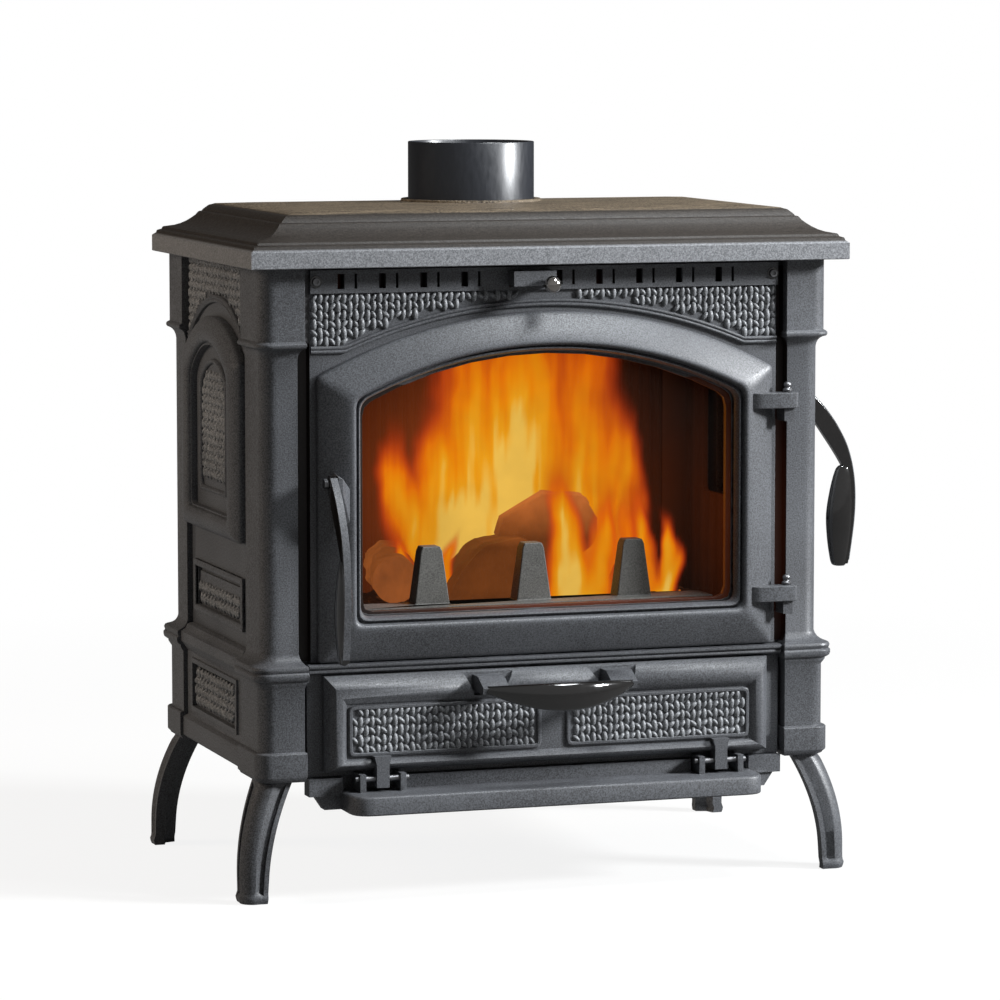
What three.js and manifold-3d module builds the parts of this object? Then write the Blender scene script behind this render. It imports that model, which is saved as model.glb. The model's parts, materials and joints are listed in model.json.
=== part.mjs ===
// Cast-iron wood burning stove on four splayed legs, in millimetres, +Z up, front facing -Y.
// The fire door hangs on the right, a loading door is in the right-hand side, and a fold-down
// flap covers the ash drawer. The feet stand on z = 0.

import * as THREE from 'three';
import { mergeVertices } from 'three/addons/utils/BufferGeometryUtils.js';
import Module from 'manifold-3d';

const wasm = await Module();
wasm.setup();

// ---------- driving dimensions ----------

const GAP = 0.4;                 // clearance between castings that touch

// The pieces are drawn round the top plate's middle. The handles reach further out on the right and
// at the front, so the middle of the whole stove, where its origin is, lies this far from there.
const ORIGIN_X = 25;
const ORIGIN_Y = -25;

// crowned top plate
const TOP_HALF_X = 360;
const TOP_HALF_Y = 224;
const TOP_UNDER = 720.4;
const TOP_EDGE = 740;
const TOP_CROWN = 781;

// corner posts: outer faces of the plain shaft, and their inner edges
const POST_X = 338.8;
const POST_INNER_X = 297;
const FRONT_Y = -188;
const BACK_Y = 209;
const FRONT_POST_DEPTH = 72;
const BACK_POST_DEPTH = 60;
const WALL = 12;
const PLATE = 8;                 // thickness of the front, side and back castings
const CORNER_RADIUS = 18;

// heights of the moulded storeys
const BELT_BOTTOM = 257.5;
const BELT_TOP = 269.5;
const LEG_CAP_TOP = 170;
const LEG_CAP_BOTTOM = 136;

// front
const FIELD_HALF_X = 283;
const FIELD_BOTTOM = 270.5;
const VENT_BOTTOM = 690.5;
const VENT_TOP = 717;

// fire door, outer edge and the lip round the glass
const DOOR = { half: 276, bottom: 271, spring: 596, apex: 666, radius: 5 };
const GLASS = { half: 229, bottom: 321, spring: 568, apex: 623, radius: 12 };
const DOOR_BACK = FRONT_Y - 0.6;
const DOOR_FRONT = -214;
const DOOR_HINGE_X = 291;
const DOOR_HINGE_Y = -205;
const HINGE_HEIGHTS = [557, 331];

// ash flap
const FLAP_HALF_X = 270;
const FLAP_BOTTOM = 146;
const FLAP_TOP = 256;
const FLAP_FRONT = -204;
const FLAP_HINGE_X = [-206, 206];
const FLAP_HINGE_Y = -211;
const FLAP_HINGE_Z = 138;
const FLAP_PIN_RADIUS = 3.4;
const FLAP_PANELS = [[-244, -12], [18, 245]];
const FLAP_LUGS = [[-93.5, -62], [62, 93.5]];
const FLAP_EAR = 24;                // from a hinge's strap to each of its ears
const DRAWER_BOTTOM = 172;
const LINING_TOP = 640;

// side loading door and the matching blind panel on the left
const SIDE_CENTRE_Y = 17;
const SIDE_X = 333;
const SIDE_DOOR = { half: 122, bottom: 400, spring: 606, apex: 654, radius: 4 };
const SIDE_SIGHT = { half: 84, bottom: 427, spring: 582, apex: 620, radius: 8 };
const SIDE_PANEL = { half: 51, bottom: 454, spring: 572, apex: 596, radius: 6 };
const SIDE_MOUTH = { half: 92, bottom: 420, spring: 588, apex: 628, radius: 8 };
const SIDE_DOOR_BACK = SIDE_X + 0.6;
const SIDE_HINGE_X = 350;
const SIDE_HINGE_Y = 147;
const SIDE_HINGE_HEIGHTS = [566, 452];

// handles: a strap that bows away from its door and carries a grip
const HANDLE_THICK = 9;
const HANDLE_HUB = 9;
const HANDLE_PIN_RADIUS = 3.6;
const DOOR_HANDLE = { x: -266, y: -219, z: 478 };
const SIDE_HANDLE = { x: 361, y: -94, z: 546 };

// flue
const FLUE_Y = 90;
const FLUE_RADIUS = 75.5;
const FLUE_WALL = 3;
const FLUE_TOP = 852;
const FLUE_LEDGE = 763.6;
const FLUE_SEAT = { radius: 84, bottom: 755, top: 777.5 };

// ash shelf
const SHELF_HALF_X = 250;
const SHELF_FRONT = -250;
const SHELF_TOP = 123.5;
const SHELF_BOTTOM = 101.5;

// air slider
const SLIDER_WINDOW = [-47, 2];
const SLIDER_BLOCK = { left: -48, right: 3, front: -214 };
const KNOB_RADIUS = 10;
const SLOT_PITCH = 48.9;
const SLOT_GROUPS = [-251, 9.4];
const VENT_SCREW_X = 276.5;
const VENT_SCREW_Z = 704;

// ---------- materials ----------

const castIron = new THREE.MeshStandardMaterial({ color: 0x36373a, roughness: 0.62, metalness: 0.35 });
const blackEnamel = new THREE.MeshStandardMaterial({ color: 0x0b0b0c, roughness: 0.16, metalness: 0.1 });
const fluePaint = new THREE.MeshStandardMaterial({ color: 0x23262d, roughness: 0.42, metalness: 0.4 });
const steel = new THREE.MeshStandardMaterial({ color: 0x9b9da0, roughness: 0.35, metalness: 1 });
const chrome = new THREE.MeshStandardMaterial({ color: 0xd9d9d6, roughness: 0.08, metalness: 1 });
const ceramicGlass = new THREE.MeshStandardMaterial({
  color: 0xe8e4da, roughness: 0.05, metalness: 0, transparent: true, opacity: 0.25,
});
const sealRope = new THREE.MeshStandardMaterial({ color: 0x2a2a2a, roughness: 0.95, metalness: 0 });

// ---------- geometry helpers ----------

// signed volume of an indexed geometry, positive when its faces point out
function signedVolume(geometry) {
  const position = geometry.getAttribute('position');
  const index = geometry.getIndex();
  const a = new THREE.Vector3();
  const b = new THREE.Vector3();
  const c = new THREE.Vector3();
  let volume = 0;
  for (let i = 0; i < index.count; i += 3) {
    a.fromBufferAttribute(position, index.getX(i));
    b.fromBufferAttribute(position, index.getX(i + 1));
    c.fromBufferAttribute(position, index.getX(i + 2));
    volume += a.dot(b.cross(c)) / 6;
  }
  return volume;
}

// geometry from points and triangles, turned so that its faces point out
function fromTriangles(points, triangles) {
  const geometry = new THREE.BufferGeometry();
  const flat = points.flatMap((point) => [point.x, point.y, point.z]);
  geometry.setAttribute('position', new THREE.Float32BufferAttribute(flat, 3));
  geometry.setIndex(triangles.flat());
  if (signedVolume(geometry) < 0) {
    geometry.setIndex(triangles.map(([a, b, c]) => [a, c, b]).flat());
  }
  return geometry;
}

// skin over rings of equal length; an open loft is capped at both ends, a closed one joins up
function loft(rings, closed = false) {
  const count = rings[0].length;
  const triangles = [];
  const spans = closed ? rings.length : rings.length - 1;
  for (let r = 0; r < spans; r += 1) {
    const low = r * count;
    const high = ((r + 1) % rings.length) * count;
    for (let i = 0; i < count; i += 1) {
      const j = (i + 1) % count;
      triangles.push([low + i, low + j, high + j], [low + i, high + j, high + i]);
    }
  }
  if (!closed) {
    const last = (rings.length - 1) * count;
    for (const [a, b, c] of capTriangles(rings[0])) triangles.push([a, c, b]);
    for (const [a, b, c] of capTriangles(rings[rings.length - 1])) {
      triangles.push([last + a, last + b, last + c]);
    }
  }
  return fromTriangles(rings.flat(), triangles);
}

// triangles of a flat ring, in the ring's own order
function capTriangles(ring) {
  const normal = new THREE.Vector3();
  ring.forEach((point, i) => {
    const next = ring[(i + 1) % ring.length];
    normal.x += (point.y - next.y) * (point.z + next.z);
    normal.y += (point.z - next.z) * (point.x + next.x);
    normal.z += (point.x - next.x) * (point.y + next.y);
  });
  normal.normalize();
  const across = new THREE.Vector3(1, 0, 0);
  if (Math.abs(normal.x) > 0.9) across.set(0, 1, 0);
  const u = across.clone().cross(normal).normalize();
  const v = normal.clone().cross(u);
  const flat = ring.map((point) => new THREE.Vector2(point.dot(u), point.dot(v)));
  return THREE.ShapeUtils.triangulateShape(flat, []);
}

// a shape drawn in X and Z, standing between two values of Y
function standing(shape, yFront, yBack, steps = 12) {
  const geometry = new THREE.ExtrudeGeometry(shape, {
    depth: yBack - yFront, bevelEnabled: false, curveSegments: steps,
  });
  geometry.rotateX(Math.PI / 2);
  geometry.translate(0, yBack, 0);
  return geometry;
}

// a shape drawn in Y and Z, standing between two values of X
function sideways(shape, xLow, xHigh, steps = 12) {
  const geometry = new THREE.ExtrudeGeometry(shape, {
    depth: xHigh - xLow, bevelEnabled: false, curveSegments: steps,
  });
  const turn = new THREE.Matrix4().makeBasis(
    new THREE.Vector3(0, 1, 0), new THREE.Vector3(0, 0, 1), new THREE.Vector3(1, 0, 0),
  );
  geometry.applyMatrix4(turn);
  geometry.translate(xLow, 0, 0);
  return geometry;
}

// a shape drawn in X and Y, lying between two heights
function lying(shape, zLow, zHigh, steps = 12) {
  const geometry = new THREE.ExtrudeGeometry(shape, {
    depth: zHigh - zLow, bevelEnabled: false, curveSegments: steps,
  });
  geometry.translate(0, 0, zLow);
  return geometry;
}

function box(xLow, xHigh, yLow, yHigh, zLow, zHigh) {
  const geometry = new THREE.BoxGeometry(xHigh - xLow, yHigh - yLow, zHigh - zLow);
  geometry.translate((xLow + xHigh) / 2, (yLow + yHigh) / 2, (zLow + zHigh) / 2);
  return geometry;
}

// a round bar from one point to another
function rod(from, to, radius, sides = 16, endRadius = radius) {
  const along = to.clone().sub(from);
  const geometry = new THREE.CylinderGeometry(endRadius, radius, along.length(), sides);
  geometry.translate(0, along.length() / 2, 0);
  const turn = new THREE.Quaternion().setFromUnitVectors(
    new THREE.Vector3(0, 1, 0), along.clone().normalize(),
  );
  geometry.applyQuaternion(turn);
  geometry.translate(from.x, from.y, from.z);
  return geometry;
}

// closed shape through a list of [x, y] pairs
function outline(pairs) {
  return new THREE.Shape(pairs.map(([x, y]) => new THREE.Vector2(x, y)));
}

function rectangle(xLow, xHigh, yLow, yHigh) {
  return outline([[xLow, yLow], [xHigh, yLow], [xHigh, yHigh], [xLow, yHigh]]);
}

// rounds chosen corners of a polygon
function rounded(points, corners, radius, steps = 3) {
  const result = [];
  points.forEach((point, i) => {
    if (!corners.includes(i)) {
      result.push(point);
      return;
    }
    const before = points[(i + points.length - 1) % points.length];
    const after = points[(i + 1) % points.length];
    const start = point.clone().add(before.clone().sub(point).setLength(radius));
    const end = point.clone().add(after.clone().sub(point).setLength(radius));
    const curve = new THREE.QuadraticBezierCurve(start, point, end);
    result.push(...curve.getPoints(steps));
  });
  return result;
}

// outline of a straight-sided opening with a shallow arched head
function archPoints({ half, bottom, spring, apex, radius }, steps = 10) {
  const rise = apex - spring;
  const bend = (half * half + rise * rise) / (2 * rise);
  const sweep = Math.asin(half / bend);
  const points = [new THREE.Vector2(-half, bottom), new THREE.Vector2(half, bottom)];
  for (let i = 0; i <= steps; i += 1) {
    const angle = sweep * (1 - 2 * i / steps);
    points.push(new THREE.Vector2(bend * Math.sin(angle), apex - bend + bend * Math.cos(angle)));
  }
  return rounded(points, [0, 1, 2, points.length - 1], radius, 2);
}

function grown(arch, by) {
  return {
    half: arch.half + by, bottom: arch.bottom - by, spring: arch.spring + by * 0.6, apex: arch.apex + by,
    radius: arch.radius,
  };
}

// an arch between two others: 0 gives the first, 1 the second
function blendArch(first, second, t) {
  const arch = {};
  for (const key of Object.keys(first)) arch[key] = THREE.MathUtils.lerp(first[key], second[key], t);
  return arch;
}

// sweeps a closed section round an arched outline; the section lists [inset 0..1, depth] pairs
function archFrame(outer, inner, section, place) {
  const rings = section.map(([inset, depth]) => (
    archPoints(blendArch(outer, inner, inset)).map((point) => place(point, depth))
  ));
  return loft(rings, true);
}

const onFront = (point, depth) => new THREE.Vector3(point.x, depth, point.y);
const onSide = (side) => (point, depth) => (
  new THREE.Vector3(side * depth, SIDE_CENTRE_Y + point.x, point.y)
);

// ---------- joining and cutting ----------

function toSolid(geometry) {
  const bare = geometry.clone();
  bare.deleteAttribute('normal');
  bare.deleteAttribute('uv');
  const merged = mergeVertices(bare, 1e-4);
  return new wasm.Manifold(new wasm.Mesh({
    numProp: 3,
    vertProperties: new Float32Array(merged.getAttribute('position').array),
    triVerts: new Uint32Array(merged.getIndex().array),
  }));
}

function toGeometry(solid) {
  const mesh = solid.getMesh();
  const geometry = new THREE.BufferGeometry();
  geometry.setAttribute('position', new THREE.Float32BufferAttribute(mesh.vertProperties, 3));
  geometry.setIndex(Array.from(mesh.triVerts));
  return geometry;
}

function join(...geometries) {
  return toGeometry(geometries.map(toSolid).reduce((all, next) => all.add(next)));
}

function cut(geometry, ...tools) {
  return toGeometry(tools.map(toSolid).reduce((rest, tool) => rest.subtract(tool), toSolid(geometry)));
}

// ---------- assembly ----------

const stove = new THREE.Group();
stove.name = 'wood_burning_stove';
stove.position.set(-ORIGIN_X, -ORIGIN_Y, 0);

function addPiece(name, geometry, material) {
  const piece = new THREE.Mesh(geometry, material);
  piece.name = name;
  stove.add(piece);
}

// ---------- top ----------

// moulded top: square edge band, bevel, cove, second step and a flat. The casting is hollow under
// the cove, rests on an inward flange, and has a stepped seat for the pipe.
function topPlate() {
  const crown = [
    [0, TOP_UNDER], [0, TOP_EDGE], [4, 742.6], [5, 745.2], [9.5, 747], [11, 749.4],
    [22, 752], [34, 757.5], [43, 764.5], [46, 768.8], [49, 769.6], [55, 776.4], [59, 777.8],
    [98, TOP_CROWN],
  ];
  const flange = TOP_UNDER + 7.6;
  const underside = [
    [92, 774], [60, 770.5], [50, 759.5], [38, 750], [22, 743.5], [8, 737], [8, flange], [66, flange],
    [66, TOP_UNDER],
  ];
  const ring = (inset, z) => {
    const x = TOP_HALF_X - inset;
    const y = TOP_HALF_Y - inset;
    return [[-x, -y], [x, -y], [x, y], [-x, y]].map(([px, py]) => new THREE.Vector3(px, py, z));
  };
  const rings = [...underside, ...crown].map(([inset, z]) => ring(inset, z));
  const seat = verticalRod(0, FLUE_Y, FLUE_SEAT.bottom, FLUE_SEAT.top, FLUE_SEAT.radius, 32);
  const bore = verticalRod(0, FLUE_Y, FLUE_LEDGE, TOP_CROWN + 9, FLUE_RADIUS + GAP, 32);
  const throat = verticalRod(0, FLUE_Y, FLUE_SEAT.bottom - 9, TOP_CROWN, FLUE_RADIUS - 6, 32);
  return cut(join(loft(rings), seat), bore, throat);
}

// open pipe that stands on the ledge of its seat
function fluePipe() {
  const inner = FLUE_RADIUS - FLUE_WALL;
  const low = FLUE_LEDGE + GAP;
  const wall = [[inner, low], [FLUE_RADIUS, low], [FLUE_RADIUS, FLUE_TOP], [inner, FLUE_TOP]];
  const profile = [...wall, wall[0]];
  const geometry = new THREE.LatheGeometry(profile.map(([r, z]) => new THREE.Vector2(r, z)), 32);
  geometry.rotateX(Math.PI / 2);
  geometry.translate(0, FLUE_Y, 0);
  return geometry;
}

// ---------- corner posts and legs ----------

// plan of an angle section with a rounded outer corner; its faces stand out by outX and outY
function postRing(sideX, sideY, z, outX, outY) {
  const depth = sideY < 0 ? FRONT_POST_DEPTH : BACK_POST_DEPTH;
  const face = sideY < 0 ? -FRONT_Y : BACK_Y;
  const corner = { x: POST_X + outX, y: face + outY };
  const innerX = POST_INNER_X - outY * 0.45;
  const innerY = face - depth - outX * 0.25;
  const plan = [
    [innerX, corner.y], [innerX, face - WALL], [POST_X - WALL, face - WALL], [POST_X - WALL, innerY],
    [corner.x, innerY], [corner.x, corner.y],
  ].map(([x, y]) => new THREE.Vector2(x, y));
  const points = rounded(plan, [5], CORNER_RADIUS, 3);
  return points.map((point) => new THREE.Vector3(sideX * point.x, sideY * point.y, z));
}

// capital, plain shaft, moulded pedestal and leg cap in one casting
function cornerPost(sideX, sideY) {
  const stations = [
    [LEG_CAP_BOTTOM, 4, 7], [139, 8, 11], [142, 10.6, 13.4], [LEG_CAP_TOP, 10.6, 13.4],
    [LEG_CAP_TOP + 0.8, 5.9, 9.3], [243, 5.9, 9.3], [246, 8, 11.5], [253, 9.5, 13],
    [256, 14, 17], [BELT_TOP, 14, 17], [272, 9, 12], [277, 6, 8.5], [284, 1.5, 2.5], [288, 0, 0],
    [611, 0, 0], [621, 2, 4.4], [628, 4.5, 11], [631, 7.8, 15.2], [634.5, 8.2, 15.6], [637, 4.7, 12.4],
    [TOP_UNDER - GAP, 4.7, 12.4],
  ];
  return loft(stations.map(([z, outX, outY]) => postRing(sideX, sideY, z, outX, outY)));
}

// curved leg of angle section: a rounded panel between two grooves, and a rib along each edge
function leg(sideX, sideY) {
  const face = sideY < 0 ? -FRONT_Y : BACK_Y;
  const rings = [];
  for (const t of [0, 0.035, 0.06, 0.2, 0.36, 0.54, 0.73, 0.9, 0.93, 0.965, 1]) {
    const z = (LEG_CAP_BOTTOM - GAP) * (1 - t);
    const bow = 1 - Math.max(0, 1 - t / 0.78) ** 2;
    const foot = Math.max(0, 1 - Math.abs(t - 0.96) / 0.05) * 2.5;
    const x = POST_X + 5 + 25 * bow + foot;
    const y = face + 2 + 16 * bow + foot;
    const width = THREE.MathUtils.lerp(38, 29, t) + foot;
    const groove = t > 0.05 && t < 0.91 ? 3.5 : 0.1;
    rings.push(legRing(x, y, width, groove, z, sideX, sideY));
  }
  return loft(rings);
}

function legRing(x, y, width, groove, z, sideX, sideY) {
  const thick = 13;
  const rib = 5.5;
  const bed = rib + 3.6;
  const bend = width * 0.52;
  const edge = [
    [width - bed, 1 + groove], [width - rib, 1 + groove], [width - rib, 1], [width, 1], [width, thick],
  ];
  const panel = [15, 35, 55, 75].map((degrees) => {
    const angle = THREE.MathUtils.degToRad(degrees);
    return [bend - bend * Math.sin(angle), bend - bend * Math.cos(angle)];
  }).reverse();
  const farEdge = edge.map(([inX, inY]) => [inY, inX]).reverse();
  const plan = [...farEdge, ...panel, ...edge, [thick + 4, thick + 4]];
  return plan.map(([inX, inY]) => new THREE.Vector3(sideX * (x - inX), sideY * (y - inY), z));
}

// ---------- front ----------

// front casting: a flange behind the posts and a raised field, pierced for fire, air and ash
function frontPlate() {
  const flangeFront = FRONT_Y + WALL + GAP;
  const flange = standing(rectangle(-322, 322, 139, TOP_UNDER - GAP), flangeFront, -167);
  const field = box(-FIELD_HALF_X, FIELD_HALF_X, FRONT_Y, -170, FIELD_BOTTOM, VENT_BOTTOM - GAP);
  const fireMouth = {
    half: GLASS.half - 8,
    bottom: GLASS.bottom + 6,
    spring: GLASS.spring - 6,
    apex: GLASS.apex - 6,
    radius: 12,
  };
  const mouth = standing(new THREE.Shape(archPoints(fireMouth)), -200, -160);
  const halfHollow = FIELD_HALF_X - PLATE;
  const hollow = box(
    -halfHollow, halfHollow, FRONT_Y + PLATE, -160, FIELD_BOTTOM + PLATE, VENT_BOTTOM - PLATE,
  );
  const surround = standing(rectangle(-288, 288, 139, BELT_BOTTOM - GAP), FRONT_Y, -170);
  const ashMouth = standing(rectangle(-FLAP_HALF_X + 10, FLAP_HALF_X - 10, 156, FLAP_TOP - 10), -200, -160);
  const airWay = standing(rectangle(-270, 270, VENT_BOTTOM + 3, VENT_TOP - 3), -200, -160);
  return cut(join(flange, field, surround), mouth, hollow, ashMouth, airWay);
}

// moulded belt between the fire door and the ash flap
function frontBelt() {
  const half = FIELD_HALF_X + 5;
  const section = [
    [FRONT_Y + WALL, BELT_BOTTOM], [-192, BELT_BOTTOM], [-198, BELT_BOTTOM + 2.5], [-198, BELT_BOTTOM + 5],
    [-196, BELT_BOTTOM + 6], [-199.5, BELT_BOTTOM + 8], [-199.5, BELT_TOP - 1], [-194, BELT_TOP],
    [FRONT_Y + WALL, BELT_TOP],
  ];
  return sideways(outline(section), -half, half);
}

// moulding with two beads that follows the arch over the door and runs level at both ends
function archTrim() {
  const foot = { x: 242, z: 631 };
  const apex = 680;
  const rise = apex - foot.z;
  const bend = (foot.x ** 2 + rise ** 2) / (2 * rise);
  const sweep = Math.asin(foot.x / bend);
  const line = [new THREE.Vector2(-282, foot.z)];
  const steps = 18;
  for (let i = 0; i <= steps; i += 1) {
    const angle = sweep * (2 * i / steps - 1);
    line.push(new THREE.Vector2(bend * Math.sin(angle), apex - bend + bend * Math.cos(angle)));
  }
  line.push(new THREE.Vector2(282, foot.z));
  const section = [
    [0, FRONT_Y - GAP], [0, -191], [-1.8, -192.6], [-3.4, -191], [-4.2, -190], [-5, -191],
    [-6.8, -192.6], [-8.4, -191], [-8.4, FRONT_Y - GAP],
  ];
  return loft(line.map((point) => (
    section.map(([drop, depth]) => new THREE.Vector3(point.x, depth, point.y + drop))
  )));
}

// slotted air strip under the top, with a window for the slider's lever
function ventStrip() {
  const strip = box(-FIELD_HALF_X, FIELD_HALF_X, -193, FRONT_Y + WALL, VENT_BOTTOM, VENT_TOP);
  const slots = [box(...SLIDER_WINDOW, -200, -170, VENT_BOTTOM + 3.5, VENT_TOP - 4)];
  for (const start of SLOT_GROUPS) {
    for (let i = 0; i < 5; i += 1) {
      const x = start + i * SLOT_PITCH;
      if (x + 22 > SLIDER_WINDOW[0] && x < SLIDER_WINDOW[1]) continue;
      slots.push(box(x, x + 8.2, -200, -170, VENT_BOTTOM + 5, VENT_TOP - 4.5));
      slots.push(box(x + 20, x + 23, -200, -170, VENT_BOTTOM + 5, VENT_TOP - 4.5));
    }
  }
  const holes = [-VENT_SCREW_X, VENT_SCREW_X].map((x) => (
    rod(new THREE.Vector3(x, -200, VENT_SCREW_Z), new THREE.Vector3(x, -170, VENT_SCREW_Z), 2.6, 10)
  ));
  return cut(strip, ...slots, ...holes);
}

// socket-headed screw, its head against the strip
function ventScrew(x) {
  const at = (y) => new THREE.Vector3(x, y, VENT_SCREW_Z);
  const head = rod(at(-193.3), at(-196.6), 4.6, 18, 4.2);
  const shank = rod(at(-178), at(-194), 2.2, 10);
  const socket = rod(at(-195), at(-198), 2.1, 6);
  return cut(join(head, shank), socket);
}

// air slider behind the strip; its lever comes out through the window and carries the finger block
function airSlider() {
  const shape = rectangle(-226, 264, VENT_BOTTOM + 3.6, VENT_TOP - 3.6);
  const plate = standing(shape, FRONT_Y + WALL + 1, -171.5);
  const lever = box(-6.5, 1, -200, -172, 701, 708);
  const block = box(SLIDER_BLOCK.left, SLIDER_BLOCK.right, SLIDER_BLOCK.front, -194, 695.5, 713);
  return join(plate, lever, block);
}

// ball knob that stands against the finger block
function airKnob() {
  return ball(KNOB_RADIUS, SLIDER_BLOCK.right - 8, SLIDER_BLOCK.front - GAP - KNOB_RADIUS, 697.8);
}

function ball(radius, x, y, z) {
  const geometry = new THREE.SphereGeometry(radius, 14, 8);
  geometry.translate(x, y, z);
  return geometry;
}

// ---------- fire door ----------

// bull-nosed door casting with a rebate for the glass and a channel for the seal behind
function fireDoorFrame() {
  const section = [
    [0, DOOR_BACK], [0, -196], [0.06, -199.5], [0.2, -205.5], [0.36, -210.5], [0.54, -213.4],
    [0.7, DOOR_FRONT], [0.82, -213], [0.88, -210.5], [0.9, -206], [0.95, -206], [1, -205], [1.04, -201],
    [1.04, -197], [0.82, -197], [0.82, -193.6], [0.25, -193.6], [0.25, DOOR_BACK],
  ];
  return archFrame(DOOR, GLASS, section, onFront);
}

// strap that carries the hinge eye, tapering into the door's right stile
function hingeArm(z) {
  const arm = outline([
    [236, -211], [244, -214], [256, -217.5], [299, -217.5], [301, -215.5], [301, -197], [284, -196.6],
    [276, -196.6], [262, -200],
  ]);
  return lying(arm, z - 9, z + 9);
}

function verticalRod(x, y, zLow, zHigh, radius, sides = 16) {
  return rod(new THREE.Vector3(x, y, zLow), new THREE.Vector3(x, y, zHigh), radius, sides);
}

function fireDoor() {
  const arms = HINGE_HEIGHTS.map(hingeArm);
  const lugWeb = placeHandle(handleLug(-13), DOOR_HANDLE);
  const eyes = HINGE_HEIGHTS.map((z) => verticalRod(DOOR_HINGE_X, DOOR_HINGE_Y, z - 30, z + 30, 4.4));
  const pinHole = placeHandle(pivotRod(-8, 22, HANDLE_PIN_RADIUS + 0.4), DOOR_HANDLE);
  return cut(join(fireDoorFrame(), ...arms, lugWeb), ...eyes, pinHole);
}

// fixed eye under each arm, rooted in the groove beside the right-hand post
function hingeLug(x, y, zTop, rootY) {
  const lug = box(x - 6.5, x + 5.5, y - 7, rootY, zTop - 15, zTop);
  return cut(lug, verticalRod(x, y, zTop - 20, zTop + 5, 4.4));
}

// pin with a turned head that stands above the arm
function hingePin(x, y, zLow, zHigh) {
  const profile = [
    [0, zLow], [4, zLow], [4, zHigh - 0.6], [5.6, zHigh - 0.5], [5.6, zHigh + 3], [3.2, zHigh + 5],
    [4.4, zHigh + 8], [3.6, zHigh + 11], [0, zHigh + 12],
  ].map(([r, z]) => new THREE.Vector2(r, z));
  const geometry = new THREE.LatheGeometry(profile, 10);
  geometry.rotateX(Math.PI / 2);
  geometry.translate(x, y, 0);
  return geometry;
}

// pane or ring that follows the arched glass
function archPlate(grow, yFront, yBack, hole) {
  const shape = new THREE.Shape(archPoints(grown(GLASS, grow)));
  if (hole !== undefined) shape.holes.push(new THREE.Path(archPoints(grown(GLASS, hole))));
  return standing(shape, yFront, yBack);
}

// fibre rope in the channel behind the door's rim
function doorSeal() {
  return archFrame(DOOR, GLASS, [[0.4, -193.2], [0.4, -188.4], [0.6, -188.4], [0.6, -193.2]], onFront);
}

// ---------- handles ----------
// Drawn round the pivot: reach away from the door, side along the pivot, height above it.

// moves a handle's piece from its own axes to its door; the side handle reaches along +X
function placeHandle(geometry, pivot) {
  const placed = geometry.clone();
  if (pivot === DOOR_HANDLE) placed.rotateZ(-Math.PI / 2);
  placed.translate(pivot.x, pivot.y, pivot.z);
  return placed;
}

function pivotRod(from, to, radius, sides = 16) {
  return rod(new THREE.Vector3(0, from, 0), new THREE.Vector3(0, to, 0), radius, sides);
}

// outward edge of the strap, from the hub down to its tip
const strapBack = new THREE.SplineCurve([
  [6.2, 6.5], [22, -10], [38, -32], [52, -60], [60, -96], [58, -140], [46, -198],
].map(([reach, height]) => new THREE.Vector2(reach, height)));

// inward edge of the arm, which thins to a strip along the grip
const strapBelly = new THREE.SplineCurve([
  [41.5, -198], [53, -140], [55, -104], [46, -82], [34, -62], [16, -36], [-4, -8],
].map(([reach, height]) => new THREE.Vector2(reach, height)));

function strapShape(clearance) {
  const belly = strapBelly.getPoints(16).map((point) => new THREE.Vector2(point.x - clearance, point.y));
  return new THREE.Shape([...strapBack.getPoints(16), ...belly]);
}

// flat strap with a round hub on the pivot
function handleStrap() {
  const half = HANDLE_THICK / 2;
  const strap = standing(strapShape(0), -half, half);
  const hub = pivotRod(-half, half, HANDLE_HUB, 24);
  return cut(join(strap, hub), pivotRod(-20, 20, HANDLE_PIN_RADIUS + 0.4));
}

// lens-shaped grip, let over the inward edge of the strap
function handleGrip() {
  const rings = [];
  const steps = 10;
  for (let i = 0; i <= steps; i += 1) {
    const t = i / steps;
    const height = THREE.MathUtils.lerp(-80, -201, t);
    const swell = Math.sqrt(Math.max(0.04, 1 - (2 * t - 1) ** 4));
    const outer = 58 - 16 * Math.max(0, t - 0.45) ** 1.5 - 6 * Math.max(0, 0.25 - t);
    const depth = THREE.MathUtils.lerp(18, 32, swell) * swell;
    const middle = outer - depth / 2;
    const ring = [];
    for (let k = 0; k < 16; k += 1) {
      const angle = k * Math.PI / 8;
      const side = 9 * swell * Math.sin(angle);
      ring.push(new THREE.Vector3(middle + depth / 2 * Math.cos(angle), side, height));
    }
    rings.push(ring);
  }
  const half = HANDLE_THICK / 2 + 0.35;
  const rebate = new THREE.Shape([
    ...strapBelly.getPoints(16).map((point) => new THREE.Vector2(point.x - 0.35, point.y)),
    new THREE.Vector2(90, 0), new THREE.Vector2(90, -210), new THREE.Vector2(41, -210),
  ]);
  return cut(loft(rings), standing(rebate, -half, half));
}

// tapering lug that stands up from a door's stile and takes the inner end of the pivot
function handleLug(root) {
  const near = HANDLE_THICK / 2 + GAP;
  const foot = [[near, -56], [near + 22, -56], [near + 22, -12], [near, 12]];
  const tip = [[near, -12], [near + 6, -12], [near + 6, 6], [near, 9]];
  const ring = (pairs, reach) => pairs.map(([side, height]) => new THREE.Vector3(reach, side, height));
  return loft([ring(foot, root), ring(foot, root + 2), ring(tip, 7)]);
}

function handlePin() {
  const shank = pivotRod(-7, 14, HANDLE_PIN_RADIUS, 14);
  const head = pivotRod(-10, -HANDLE_THICK / 2 - 0.5, 6, 6);
  return join(shank, head);
}

// ---------- ash flap ----------

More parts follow.
